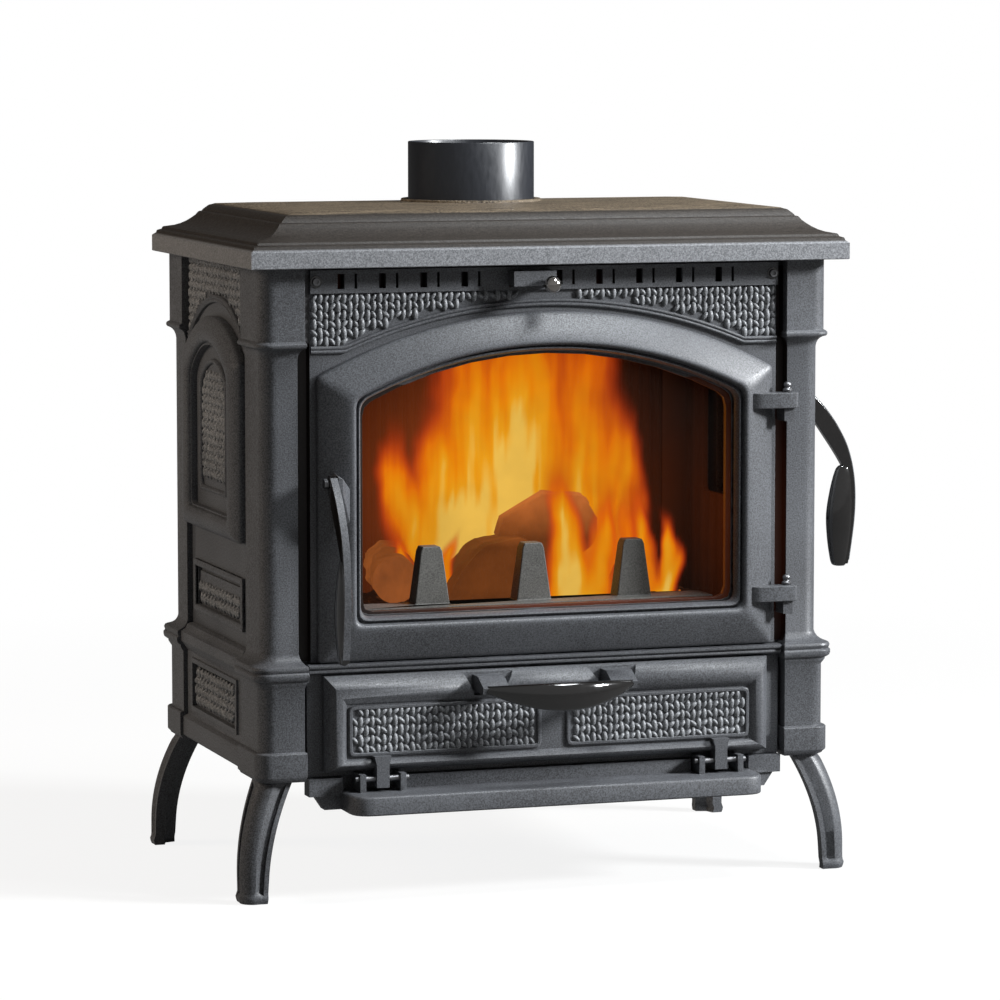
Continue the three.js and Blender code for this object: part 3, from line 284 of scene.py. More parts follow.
def within(finish, room):
    """1 in a room laid out round the top plate's middle, and 0 outside it."""
    across = finish.between(finish.axis("X"), MIDDLE.x - room["half"], MIDDLE.x + room["half"])
    along = finish.between(finish.axis("Y"), *[MIDDLE.y + end for end in room["along"]])
    return across * along * finish.between(finish.axis("Z"), *room["height"])


def cast_iron(name, dark, light, roughness=0.44, sand=0.00022, patchy=0.25, sooty_and_firelit_inside=True):
    """Sand-cast iron under matt stove paint: fine speckle, faint patches, a pebbled skin; inside the fire
    chamber and the door's mouth, soot and painted firelight.
    """
    finish = Finish(name, "cast_iron", Specular_IOR_Level=0.45)
    speckle = finish.grain(620, 3, 0.6)
    patches = finish.grain(7, 2, 0.5)
    tone = finish.span(speckle + patches * patchy, 0.34 + patchy / 2, 0.66 + patchy / 2)
    base = finish.blend(tone, dark, light)
    if sooty_and_firelit_inside:
        chamber = within(finish, CHAMBER)
        inside = chamber.maths("MAXIMUM", chamber, within(finish, DOOR_MOUTH))
        base = finish.blend(inside, base, finish.blend(speckle, SOOT_AND_FIRELIGHT["dark"], SOOT_AND_FIRELIGHT["light"]))
        # painted firelight: an emission colour on the iron inside, fading with the distance from the fire
        lit = fire_light(finish, reach=SOOT_AND_FIRELIGHT["reach_on_iron"])
        finish.paint("Emission Color", finish.blend(inside, (0, 0, 0, 1), lit))
        finish.paint("Emission Strength", 1.0)
    finish.paint("Base Color", base)
    finish.paint("Roughness", finish.span(speckle, 0.3, 0.7, roughness + 0.1, roughness - 0.1))
    skin = finish.grain(260, 2, 0.55) * 0.6 + speckle * 0.4
    finish.paint("Normal", finish.bump(skin, sand))
    return finish


STOVE_PAINT = (srgb(55, 55, 57), srgb(98, 100, 104))
iron = cast_iron("stove_paint_on_iron", *STOVE_PAINT)


def placed(point):
    """A point drawn in millimetres round the top plate's middle, brought to the frame."""
    return MIDDLE + Vector(point) * MM


def loft(rings, closed=False, capped=True):
    """Skin over rings of equal length, as points and faces."""
    count = len(rings[0])
    faces = []
    for ring in range(len(rings) if closed else len(rings) - 1):
        low, high = ring * count, (ring + 1) % len(rings) * count
        for i, after in [(i, (i + 1) % count) for i in range(count)]:
            faces.append((low + i, low + after, high + after, high + i))
    if capped and not closed:
        last = (len(rings) - 1) * count
        faces += [tuple(range(count))[::-1], tuple(range(last, last + count))]
    return [point for ring in rings for point in ring], faces


def finish_mesh(mesh, finish, crease):
    """Merges doubled points, turns the faces outwards, and shades smooth between creases."""
    work = bmesh.new()
    work.from_mesh(mesh)
    bmesh.ops.remove_doubles(work, verts=work.verts, dist=1e-6)
    bmesh.ops.recalc_face_normals(work, faces=work.faces)
    work.to_mesh(mesh)
    work.free()
    mesh.shade_smooth()
    mesh.set_sharp_from_angle(angle=math.radians(crease))
    mesh.materials.clear()
    mesh.materials.append(finish.material)


def add_piece(name, mesh, stands_for, body, edge):
    """Links a finished mesh, eases its edges, parents it to its body, and hides the CAD nodes it stands for.
    """
    made = bpy.data.objects.new(name, mesh)
    bpy.context.scene.collection.objects.link(made)
    if edge:
        ease = made.modifiers.new("eased_edges", "BEVEL")
        ease.limit_method = "ANGLE"
        ease.angle_limit = math.radians(38)
        ease.width = edge * MM
        ease.segments = 2
        ease.harden_normals = True
    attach(made, body or BODY_OF[stands_for[0]])
    if stands_for:
        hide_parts(*stands_for)
    return made


def piece(name, shapes, finish, stands_for=(), body=None, crease=36, edge=0.0):
    """A new piece from shapes drawn in millimetres round the top plate's middle."""
    points, faces = [], []
    for shape_points, shape_faces in shapes:
        start = len(points)
        points += [placed(point) for point in shape_points]
        faces += [tuple(start + i for i in face) for face in shape_faces]
    mesh = bpy.data.meshes.new(name)
    mesh.from_pydata(points, [], faces)
    finish_mesh(mesh, finish, crease)
    return add_piece(name, mesh, stands_for, body, edge)


def recast(node, finish, edge=1.0, crease=36):
    """The node's own form with its flat faces joined up and its edges eased as a casting's are."""
    mesh = frame["nodes"][node].data.copy()
    mesh.name = node + "_cast"
    work = bmesh.new()
    work.from_mesh(mesh)
    bmesh.ops.remove_doubles(work, verts=work.verts, dist=2e-6)
    bmesh.ops.dissolve_limit(work, angle_limit=math.radians(0.6), verts=work.verts, edges=work.edges)
    work.to_mesh(mesh)
    work.free()
    finish_mesh(mesh, finish, crease)
    return add_piece(node + "_cast", mesh, [node], None, edge)


def dress(node, finish):
    """Gives a CAD node its finish."""
    node_mesh = frame["nodes"][node].data
    node_mesh.materials.clear()
    node_mesh.materials.append(finish.material)


def circle(x, y, z, radius, sides=72):
    """Points round a vertical axis."""
    turn = math.tau / sides
    return [(x + radius * math.cos(i * turn), y + radius * math.sin(i * turn), z) for i in range(sides)]


def arc(centre, radius, start, end, steps):
    """Points of a plane arc, its angles in degrees."""
    angles = [math.radians(start + (end - start) * i / steps) for i in range(steps + 1)]
    return [(centre[0] + radius * math.cos(a), centre[1] + radius * math.sin(a)) for a in angles]


FLUE = {"y": 90, "radius": 75.5, "wall": 3, "rim": 0.8, "ledge": 763.6, "top": 852}
TOP_HALF = ((plate_high.x - plate_low.x) / 2 / MM, (plate_high.y - plate_low.y) / 2 / MM)
FLAT_INSET = 98

# stations of (inset from the plate's edge, height), and of (radius, height) for the flue's seat
EDGE_BAND = [(0.8, 720.4), (0, 721.2), (0, 739.2), (0.7, 740), (4, 742.4), (4.8, 745), (5.6, 745.6),
             (9.5, 747), (10.4, 749.2), (11.4, 750)]
COVE = [(22, 752), (28, 754.2), (34, 757.6), (39, 761.4), (43, 765), (45.4, 768.4)]
UPPER_BEADS = [(46.4, 769.2), (49, 769.8), (50, 771.6), (55, 776.2), (56.4, 777.2), (59, 777.8), (62, 779),
               (FLAT_INSET, 781)]
SEAT = [(84.6, 781.2), (84, 783.4), (83.2, 784), (77.5, 784), (76.6, 783), (76.6, FLUE["ledge"]),
        (69.5, FLUE["ledge"]), (69.5, 755), (84, 755), (84, 774)]
UNDERSIDE = [(92, 774), (60, 770.5), (50, 759.5), (38, 750), (22, 743.5), (8, 737), (8, 728), (66, 728),
             (66, 720.4)]
FLAT = (TOP_HALF[0] - FLAT_INSET, TOP_HALF[1] - FLAT_INSET)


def edge_of_flat(direction):
    """Where a line from the flue's middle meets the flat's edge, from -1 to 1 across and along."""
    across, along = math.cos(direction), math.sin(direction)
    edge_x, edge_y = math.copysign(FLAT[0], across), math.copysign(FLAT[1], along)
    far = min(edge_x / across if across else math.inf, (edge_y - FLUE["y"]) / along if along else math.inf)
    return far * across / FLAT[0], (FLUE["y"] + far * along) / FLAT[1]


ROUND_FLUE = 80       # rays from the flue's middle to the plate's edge, besides those to its corners
to_corners = [math.atan2(y * FLAT[1] - FLUE["y"], x * FLAT[0]) for x in (-1, 1) for y in (-1, 1)]
directions = sorted([math.tau * (i + 0.5) / ROUND_FLUE - math.pi for i in range(ROUND_FLUE)] + to_corners)
flat_edge = [edge_of_flat(direction) for direction in directions]


def square_ring(inset, z):
    """The plate's outline, moved in by inset, as points that face the flue."""
    return [(u * (TOP_HALF[0] - inset), v * (TOP_HALF[1] - inset), z) for u, v in flat_edge]


def seat_ring(radius, z):
    """A circle round the flue, with a point for each of the outline's."""
    return [(radius * math.cos(d), FLUE["y"] + radius * math.sin(d), z) for d in directions]


top_rings = [square_ring(*station) for station in EDGE_BAND + COVE + UPPER_BEADS]
top_rings += [seat_ring(*station) for station in SEAT] + [square_ring(*station) for station in UNDERSIDE]

# the heights, in metres, at which one paint gives way to the next
BAND_ENDS = (0.7405, 0.7425)
FLAT_STARTS = (0.7778, 0.7792)
iron_top = Finish("top_plate_paint", "cast_iron", Specular_IOR_Level=0.25)
height = iron_top.axis("Z")
rough_part = iron_top.span(height, *FLAT_STARTS)
pits = iron_top.grain(330, 3, 0.62)
streaks = iron_top.grain(60, 3, 0.6, (0.35, 1.4, 1))
fine = iron_top.span(iron_top.grain(620, 3, 0.6), 0.36, 0.66)
band_paint = iron_top.blend(fine, srgb(88, 89, 91), srgb(136, 137, 140))
# the beads and cove above the edge band are painted darker and browner than the band: painted shade
cove_painted_shade = iron_top.blend(fine, srgb(33, 30, 27), srgb(60, 55, 51))
plain = iron_top.blend(iron_top.span(height, *BAND_ENDS), band_paint, cove_painted_shade)
# the flat is painted a mottled brown in pits and streaks
brown_mottle = iron_top.span(pits * 0.7 + streaks * 0.5, 0.42, 0.78)
mottled_brown = iron_top.blend(brown_mottle, srgb(34, 29, 25), srgb(128, 114, 95))
iron_top.paint("Base Color", iron_top.blend(rough_part, plain, mottled_brown))
iron_top.paint("Roughness", iron_top.span(pits, 0.3, 0.7, 0.62, 0.42))
iron_top.paint("Normal", iron_top.bump(pits * (rough_part * 4 + 0.5), 0.0005))
piece("top_casting", [loft(top_rings, closed=True)], iron_top, ["top_plate"], crease=30)


# ---- Flue ----
# Stub of 150 mm stove pipe in sheet steel with satin blue-black paint, standing on the ledge of its
# seat. Its rim is cut square.

flue_paint = Finish("satin_flue_paint", "flue_paint", Specular_IOR_Level=0.6)
brushed = flue_paint.grain(240, 3, 0.6, (1, 1, 0.25))
flue_paint.paint("Base Color", flue_paint.blend(brushed, srgb(22, 24, 28), srgb(32, 34, 40)))
flue_paint.paint("Roughness", flue_paint.span(brushed, 0.3, 0.7, 0.3, 0.4))
flue_paint.paint("Normal", flue_paint.bump(flue_paint.grain(700, 2), 0.00004))
bore, outside = FLUE["radius"] - FLUE["wall"], FLUE["radius"]
foot, rim, top = 764, FLUE["top"] - FLUE["rim"], FLUE["top"]
pipe_section = [(bore, foot), (outside, foot), (outside, rim), (outside - 0.5, top), (bore + 0.5, top),
                (bore, rim)]
pipe_wall = [circle(0, FLUE["y"], z, radius, 128) for radius, z in pipe_section]
piece("flue_stub", [loft(pipe_wall, closed=True)], flue_paint, ["flue_pipe"])


# ---- Corner posts ----
# Four hollow corner castings, each in one with its capital, moulded pedestal and leg cap. A bead runs
# under the capital and a double one over the pedestal. The faces are fettled flat, the corner round.

POST = {"x": 338.8, "inner": 297, "front": 188, "back": 209, "depth_front": 72, "depth_back": 60,
        "wall": 12, "corner": 18, "inner_follows": 0.45, "end_follows": 0.25}

# stations of (height, how far the side face stands out, how far the front or back face does)
PEDESTAL = [(136, 5, 8), (137.5, 7.4, 10.4), (139, 8, 11), (141.5, 10.4, 13.2), (143, 10.6, 13.4),
            (168.6, 10.6, 13.4), (170, 9.4, 12.2), (170.6, 5.9, 9.3), (243, 5.9, 9.3), (246, 7.6, 11),
            (249, 9.2, 12.6), (251.6, 9.4, 12.8), (252, 11, 14.4), (254, 13.4, 16.4), (257, 14.2, 17.2),
            (260, 14.2, 17.2), (261.6, 13, 16), (262, 12, 15), (263, 12.8, 15.8), (266, 13.6, 16.6),
            (268.6, 12.6, 15.6), (269.4, 11, 14), (270.4, 8.2, 10.8), (272, 5.4, 7.4), (274.6, 2.8, 3.9),
            (278, 1, 1.4), (282, 0, 0)]
CAPITAL = [(617, 0, 0), (621, 0.5, 1.2), (624.6, 1.5, 3.6), (627, 2.7, 6.8), (628.5, 4, 10),
           (629.3, 5.2, 12), (630, 7.2, 14.6), (632, 8.4, 15.8), (634.4, 8.2, 15.6), (636, 6.6, 14),
           (637, 4.7, 12.4), (720, 4.7, 12.4)]
CORNERS = [(side_x, side_y, row, hand) for side_y, row in ((-1, "front"), (1, "back"))
           for side_x, hand in ((-1, "left"), (1, "right"))]


def post_ring(side_x, side_y, z, out_x, out_y):
    """Plan of an angle section at one height, its two faces moved out from the plain shaft."""
    row = "front" if side_y < 0 else "back"
    face, depth, wall = POST[row], POST["depth_" + row], POST["wall"]
    corner_x, corner_y = POST["x"] + out_x, face + out_y
    inner_x = POST["inner"] - out_y * POST["inner_follows"]
    inner_y = face - depth - out_x * POST["end_follows"]
    plan = [(inner_x, corner_y), (inner_x, face - wall), (POST["x"] - wall, face - wall),
            (POST["x"] - wall, inner_y), (corner_x, inner_y)]
    plan += arc((corner_x - POST["corner"], corner_y - POST["corner"]), POST["corner"], 0, 90, 10)
    return [(side_x * x, side_y * y, z) for x, y in plan]


for side_x, side_y, row, hand in CORNERS:
    post_rings = [post_ring(side_x, side_y, *station) for station in PEDESTAL + CAPITAL]
    piece(f"corner_{row}_{hand}", [loft(post_rings)], iron, [f"post_{row}_{hand}"], crease=40, edge=0.9)


# ---- Legs ----
# Splayed cast legs, bolted up under the leg caps. Each is one convex panel round the corner, framed by
# a groove and an edge rib, and swells to a small pad at the floor.

LEG = {"steps": 44, "top": 135.6, "thick": 13, "rib": 5.5, "groove": 3.6, "deep": 3.4, "width": 38,
       "taper": 9, "start_out": (5, 2), "splay": (25, 16), "straight_from": 0.78}
LEG_PAD = {"at": 0.96, "half": 0.05, "swell": 2.5}
LEG_GROOVE = {"from": 0.035, "to": 0.925, "run_out": 0.012}


def leg_ring(x, y, width, groove, panel, z, side_x, side_y):
    """Plan of a leg: edge rib, groove, rounded panel, groove, rib, and the hollow back."""
    bed = LEG["rib"] + LEG["groove"]
    radius = width * 0.52
    thick, rib_ends = LEG["thick"], width - LEG["rib"]
    near = [(width, 1), (width, thick), (thick + 4, thick + 4), (thick, width), (1, width), (1, rib_ends),
            (1 + groove, rib_ends), (1 + groove, width - bed)]
    round_panel = [(radius - u, radius - v) for u, v in arc((0, 0), radius + panel, 4, 86, 10)]
    far = [(v, u) for u, v in near[7:4:-1]]
    plan = near + round_panel + far
    return [(side_x * (x - u), side_y * (y - v), z) for u, v in plan]


for side_x, side_y, row, hand in CORNERS:
    leg_rings = []
    for i in range(LEG["steps"] + 1):
        t = i / LEG["steps"]
        bow = 1 - max(0, 1 - t / LEG["straight_from"]) ** 2
        pad = max(0, 1 - abs(t - LEG_PAD["at"]) / LEG_PAD["half"]) * LEG_PAD["swell"]
        below_cap = min(1, max(0, (t - LEG_GROOVE["from"]) / LEG_GROOVE["run_out"]))
        above_pad = min(1, max(0, (LEG_GROOVE["to"] - t) / LEG_GROOVE["run_out"]))
        panel_open = below_cap * above_pad
        leg_rings.append(leg_ring(
            POST["x"] + LEG["start_out"][0] + LEG["splay"][0] * bow + pad,
            POST[row] + LEG["start_out"][1] + LEG["splay"][1] * bow + pad,
            LEG["width"] - LEG["taper"] * t + pad,
            0.1 + LEG["deep"] * panel_open, 0.9 * panel_open - 0.4, LEG["top"] * (1 - t), side_x, side_y))
    piece(f"splayed_leg_{row}_{hand}", [loft(leg_rings)], iron, [f"leg_{row}_{hand}"], crease=42)


# ---- Front casting ----
# One flat casting behind the posts, pierced for the fire door, the air way and the ash flap. A double
# bead follows the arch over the door, and a cast basket pattern fills the corners above it.

recast("front_plate", iron, edge=0.8)
FIELD = {"half": 283, "front": -188, "top": 690.3}


def head_line(foot, foot_height, apex, reach, steps=56):
    """A level run, a shallow arch and a level run, as (across, height) points."""
    rise = apex - foot_height
    bend = (foot ** 2 + rise ** 2) / (2 * rise)
    sweep = math.asin(foot / bend)
    angles = [sweep * (2 * i / steps - 1) for i in range(steps + 1)]
    bow = [(bend * math.sin(a), apex - bend + bend * math.cos(a)) for a in angles]
    return [(-reach, foot_height)] + bow + [(reach, foot_height)]


BEAD = {"radius": 2.25, "pitch": 4.3, "out": 1.9, "root": -1}


def double_bead(line, wall):
    """Two round beads side by side along a line; wall brings (across, out, height) to its face."""
    section = [(0, BEAD["root"])]
    for middle in (-BEAD["pitch"] / 2, -BEAD["pitch"] * 1.5):
        section += arc((middle, BEAD["out"]), BEAD["radius"], 0, 180, 8)
    section.append((-BEAD["pitch"] * 2, BEAD["root"]))
    return loft([[wall(across, out, height + drop) for drop, out in section] for across, height in line])


def slab(outline, low, high, wall):
    """A flat outline given a thickness; wall brings (across, out, height) to its face."""
    return loft([[wall(across, out, height) for across, height in outline] for out in (low, high)])


def front_wall(across, out, height):
    """Brings (across, out, height) to the front casting's face."""
    return (across, FIELD["front"] - out, height)


HEAD = {"foot": 242, "foot_height": 631, "apex": 680, "reach": 282}
door_head_line = head_line(**HEAD)
piece("door_head_bead", [double_bead(door_head_line, front_wall)], iron, ["arch_trim"], crease=50)


def basket_tree():
    """Geometry Nodes: half-sunk cast strokes, upright and slanted by turns, over a flat outline."""
    tree = bpy.data.node_groups.new("basket_pattern", "GeometryNodeTree")
    tree.interface.new_socket("Outline", in_out="INPUT", socket_type="NodeSocketGeometry")
    for name in ("Pitch Across", "Pitch Up", "Length", "Width", "Rise", "Slant"):
        tree.interface.new_socket(name, in_out="INPUT", socket_type="NodeSocketFloat")
    tree.interface.new_socket("Seed", in_out="INPUT", socket_type="NodeSocketInt")
    tree.interface.new_socket("Finish", in_out="INPUT", socket_type="NodeSocketMaterial")
    tree.interface.new_socket("Strokes", in_out="OUTPUT", socket_type="NodeSocketGeometry")
    nodes = Nodes(tree)
    given = nodes.node("NodeGroupInput")
    box = nodes.node("GeometryNodeBoundBox", {}, {0: given}, out="Min")
    low, high = box, box.also("Max")
    span = nodes.vector("SUBTRACT", high, low)
    wide = nodes.node("ShaderNodeSeparateXYZ", {}, {0: span}, out="X")
    tall = wide.also("Y")
    columns = (wide / given.also("Pitch Across")).whole() + 1
    rows = (tall / given.also("Pitch Up")).whole() + 1
    grid = nodes.node("GeometryNodeMeshGrid", {}, {0: wide, 1: tall, 2: columns, 3: rows})
    both_ends = nodes.vector("ADD", low, high)
    centre = nodes.node("ShaderNodeVectorMath", {"operation": "SCALE"}, {0: both_ends, 3: 0.5})
    grid = nodes.node("GeometryNodeTransform", {}, {0: grid, "Translation": centre})
    above = nodes.vector("ADD", nodes.node("GeometryNodeInputPosition"), (0, 0, 1))
    inside = nodes.node("GeometryNodeRaycast", {}, {
        "Target Geometry": given, "Source Position": above, "Ray Direction": (0, 0, -1), "Ray Length": 2})
    order = nodes.node("GeometryNodeInputIndex")
    turn = ((order / rows).whole() + order % rows) % 2
    seed = given.also("Seed")
    pick = nodes.node("FunctionNodeRandomValue", {}, {2: 0.0, 3: 1.0, "Seed": seed}, out=1)
    wobble = nodes.node("FunctionNodeRandomValue", {}, {2: -1.0, 3: 1.0, "Seed": seed + 7}, out=1)
    side = (pick * 2).whole() * 2 - 1
    slant = turn * side * (given.also("Slant") + wobble * 0.25)
    angle = math.pi / 2 + slant + (1 - turn) * wobble * 0.1
    size = (0.95 + wobble * 0.08) * (1 - turn * 0.24)
    stroke = nodes.node("ShaderNodeCombineXYZ", {}, {
        0: given.also("Length") * size, 1: given.also("Width") * size,
        2: given.also("Rise") * (1 + wobble * 0.12)})
    heading = nodes.node("ShaderNodeCombineXYZ", {}, {2: angle})
    pillow = nodes.node("GeometryNodeMeshUVSphere", {}, {"Segments": 8, "Rings": 6, "Radius": 0.5})
    strokes = nodes.node("GeometryNodeInstanceOnPoints", {}, {
        "Points": grid, "Selection": inside, "Instance": pillow, "Rotation": heading, "Scale": stroke})
    strokes = nodes.node("GeometryNodeRealizeInstances", {}, {0: strokes})
    strokes = nodes.node("GeometryNodeSetMaterial", {}, {0: strokes, "Material": given.also("Finish")})
    nodes.feed(nodes.node("NodeGroupOutput", out=None).inputs[0], strokes)
    return tree


basket = basket_tree()
# the pattern's strokes are painted lighter than the stove's paint all over: a painted highlight
pattern_iron_painted_highlight = cast_iron("paint_on_pattern_painted_highlight", srgb(84, 85, 87), srgb(146, 148, 151), 0.42)

# the pattern's pitch across and up, each stroke's length, width and rise, and how far it slants
WIDE_WEAVE = {"pitch": (7, 9.4), "stroke": (16.5, 8.2, 8), "slant": 0.75}
SMALL_WEAVE = {"pitch": (6.8, 9), "stroke": (15.5, 7.8, 7.6), "slant": 0.75}


def basket_relief(name, outlines, wall, body, weave, seed, out=0):
    """Cast pattern over flat outlines, given as (across, height) points of a wall."""
    flat = bpy.data.meshes.new(name)
    points = [point for outline in outlines for point in outline]
    faces, start = [], 0
    for outline in outlines:
        faces.append(tuple(range(start, start + len(outline))))
        start += len(outline)
    flat.from_pydata([(across * MM, height * MM, 0) for across, height in points], [], faces)
    drawn = bpy.data.objects.new(name, flat)
    bpy.context.scene.collection.objects.link(drawn)
    grow = drawn.modifiers.new("basket_pattern", "NODES")
    grow.node_group = basket
    inputs = {"Slant": weave["slant"], "Seed": seed, "Finish": pattern_iron_painted_highlight.material}
    for socket_name, size in zip(("Pitch Across", "Pitch Up", "Length", "Width", "Rise"),
                                 weave["pitch"] + weave["stroke"]):
        inputs[socket_name] = size * MM
    for socket in basket.interface.items_tree:
        if socket.name in inputs:
            grow[socket.identifier] = inputs[socket.name]
    strokes = bpy.data.meshes.new_from_object(drawn.evaluated_get(bpy.context.evaluated_depsgraph_get()))
    bpy.data.objects.remove(drawn)
    for vertex in strokes.vertices:
        across, height, rise = vertex.co / MM
        vertex.co = placed(wall(across, out + rise, height))
    finish_mesh(strokes, pattern_iron_painted_highlight, 60)
    return add_piece(name, strokes, (), body, 0)


PLAIN_EDGE = 5
spandrels = []
for side in (-1, 1):
    outer_end, head = side * (FIELD["half"] - PLAIN_EDGE), FIELD["top"] - PLAIN_EDGE
    under = [(x, z + PLAIN_EDGE) for x, z in door_head_line if side * x > 0 and z + PLAIN_EDGE < head - 1]
    ends = [(outer_end, HEAD["foot_height"] + PLAIN_EDGE), (outer_end, head)]
    inner = sorted((point for point in under if abs(point[0]) < abs(outer_end) - 1),
                   key=lambda point: side * point[0])
    spandrels.append([(inner[0][0], head)] + inner + ends)
basket_relief("front_basket_pattern", spandrels, front_wall, "stove_body", WIDE_WEAVE, 3)

# the plate's edge behind the left post, above the belt's ledge
under_top = plate_low.z / MM - 0.5
left_return = [(-299, 634), (-282, 634), (-282, under_top), (-299, under_top)]
piece("front_plate_return", [slab(left_return, -7, -0.4, front_wall)], iron, (), "stove_body", edge=0.6)


# ---- Belt and air strip ----
# Moulded belt under the fire door, and the slotted strip that lets air in over the glass. The strip is
# held by two socket screws, and a slider behind it is worked by a ball knob.

recast("front_belt", iron, edge=0.5, crease=30)
recast("vent_strip", iron, edge=0.6)


# ---- Fire door ----
# Bull-nosed arched frame, cast in one piece with its two hinge straps and the lug of the handle. A
# groove and a thin lip edge the glass, and a steel ring holds the pane from behind.

# arches are (half width, foot, spring, apex, corner radius)
DOOR = (276, 271, 596, 666, 5)
GLASS = (229, 321, 568, 623, 12)
HINGE = {"x": 291, "y": -205, "heights": (557, 331), "arm": 9, "below": 23, "above": 9.6}
DOOR_PIVOT = (-266, -219, 478)
SIDE_PIVOT = (361, -94, 546)


def turned(before, corner, after, steps=6):
    """A corner rounded from the point before it to the point after it."""
    path = []
    for i in range(steps + 1):
        t = i / steps
        path.append(tuple((1 - t) ** 2 * a + 2 * t * (1 - t) * b + t * t * c
                          for a, b, c in zip(before, corner, after)))
    return path


def arch_outline(half, foot, spring, apex, corner, steps=72):
    """Straight-sided outline with a shallow arched head, as (across, height) points."""
    bend = (half ** 2 + (apex - spring) ** 2) / (2 * (apex - spring))
    sweep = math.asin(half / bend) - corner / bend
    angles = [sweep * (1 - 2 * i / steps) for i in range(steps + 1)]
    head = [(bend * math.sin(a), apex - bend + bend * math.cos(a)) for a in angles]
    return (turned((-half, foot + corner), (-half, foot), (-half + corner, foot))
            + turned((half - corner, foot), (half, foot), (half, foot + corner))
            + turned((half, spring - corner), (half, spring), head[0]) + head[1:-1]
            + turned(head[-1], (-half, spring), (-half, spring - corner)))


def grown(arch, by):
    """The arch with its outline moved out."""
    half, foot, spring, apex, corner = arch
    return (half + by, foot - by, spring + by * 0.6, apex + by, corner)


def arch_frame(outer, inner, section, wall):
    """A section of (inset 0..1, out) points swept round from one arch to another."""
    rings = []
    for inset, out in section:
        arch = [a + (b - a) * inset for a, b in zip(outer, inner)]
        rings.append([wall(across, out, height) for across, height in arch_outline(*arch)])
    return loft(rings, closed=True)


def plan_slab(outline, low, high):
    """An outline drawn from above, raised from one height to another."""
    return loft([[(x, y, z) for x, y in outline] for z in (low, high)])


# from the door's rim, up the long facet and over the nose, into the groove, over the lip and back
frame_section = [
    (0, 0.6), (0, 6), (0.012, 7.2), (0.035, 8.4), (0.08, 9.9), (0.2, 13.2), (0.34, 16.8), (0.48, 20.2),
    (0.6, 22.9), (0.68, 24.5), (0.74, 25.5), (0.785, 26), (0.82, 25.8), (0.85, 24.8), (0.872, 23),
    (0.886, 20.4), (0.892, 15.4), (0.925, 15.2), (0.934, 18.4), (0.942, 19.8), (0.96, 20.6),
    (0.982, 20.2), (1, 18.4), (1.02, 15.4), (1.035, 13), (1.04, 9), (0.82, 9), (0.82, 5.6),
    (0.25, 5.6), (0.25, 0.6)]
arm = turned((240, -204), (243, -213.8), (256, -217.5), 4)
arm += turned((296, -217.5), (301, -217.5), (301, -212.5), 4) + [(301, -197), (284, -196.6), (262, -200)]
door_arms = [plan_slab(arm, z - HINGE["arm"], z + HINGE["arm"]) for z in HINGE["heights"]]


def door_side(reach, side, height):
    """Handle axes to the fire door: reach is away from the door, side along the pivot."""
    return (DOOR_PIVOT[0] + side, DOOR_PIVOT[1] - reach, DOOR_PIVOT[2] + height)


def loading_side(reach, side, height):
    """Handle axes to the loading door in the right-hand side."""
    return (SIDE_PIVOT[0] + reach, SIDE_PIVOT[1] + side, SIDE_PIVOT[2] + height)


def handle_lug(to_door, root=-13, near=4.9):
    """The door's lug beside the strap's hub, tapering towards the pivot."""
    foot = [(near, -56), (near + 22, -56), (near + 22, -12), (near, 12)]
    tip = [(near, -12), (near + 6, -12), (near + 6, 6), (near, 9)]
    return loft([[to_door(reach, *corner) for corner in ring]
                 for ring, reach in ((foot, root), (foot, root + 2), (tip, 7))])


door_frame = arch_frame(DOOR, GLASS, frame_section, front_wall)
piece("arched_fire_door", [door_frame], iron, ["fire_door"], crease=34)
piece("fire_door_fittings", door_arms + [handle_lug(door_side)], iron, (), "fire_door", edge=1.3)

pane = Finish("smoked_ceramic_glass", "ceramic_glass", Base_Color=(0.012, 0.009, 0.007, 1), Roughness=0.06,
              Specular_IOR_Level=0.2)
soot = pane.grain(9, 3, 0.6)
pane.paint("Alpha", pane.span(soot, 0.35, 0.75, 0.08, 0.2))
pane.paint("Roughness", pane.span(soot, 0.3, 0.7, 0.03, 0.12))
piece("door_pane", [slab(arch_outline(*grown(GLASS, 7)), 4.6, 8.6, front_wall)], pane, ["door_glass"])

bare_steel = Finish("bare_steel", "steel", Metallic=1.0, Roughness=0.4)
rolled = bare_steel.grain(90, 3, 0.6, (0.2, 1, 1))
bare_steel.paint("Base Color", bare_steel.blend(rolled, srgb(96, 96, 98), srgb(150, 150, 152)))
bare_steel.paint("Roughness", bare_steel.span(rolled, 0.3, 0.7, 0.32, 0.5))
recast("glass_retainer", bare_steel, edge=0.3)


# ---- Hinge eyes and pins ----
# Fixed eyes beside the right-hand post, and turned steel pins with a small finial that drop through
# the straps into them.

for hinge in ("door_hinge", "side_hinge"):
    for level in ("upper", "lower"):
        recast(f"{hinge}_lug_{level}", iron, edge=1.1)


def turned_pin(name, node, x, y, low, shoulder):
    """Lathe-turned pin: shank, collar, neck and button."""
    shank = [(0.2, low), (3.4, low), (4, low + 0.6)]
    finial = [(4, -0.4), (5.2, 0), (5.6, 0.5), (5.6, 2.6), (5, 3.3), (3.4, 4.4), (3.2, 5.2), (4.2, 6.6),
              (4.5, 8.2), (4, 10), (2.6, 11.2), (0.2, 11.8)]
    profile = shank + [(radius, shoulder + up) for radius, up in finial]
    turned_form = loft([circle(x, y, z, radius, 28) for radius, z in profile])
    piece(name, [turned_form], bare_steel, [node], crease=40)


SIDE_HINGE = {"x": 350, "y": 147, "heights": (566, 452), "below": 22, "above": 8.6}
for door, place in (("door", HINGE), ("side", SIDE_HINGE)):
    for level, z in zip(("upper", "lower"), place["heights"]):
        turned_pin(f"{door}_pin_{level}", f"{door}_hinge_pin_{level}", place["x"], place["y"],
                   z - place["below"], z + place["above"])


# ---- Door handles ----
# A flat cast strap swings on a pin through its hub, and carries a lens-shaped grip in gloss black
# enamel. The fire door has one on its left stile, and the loading door one that stands out sideways.

STRAP = {"half": 4.5, "hub": 9}


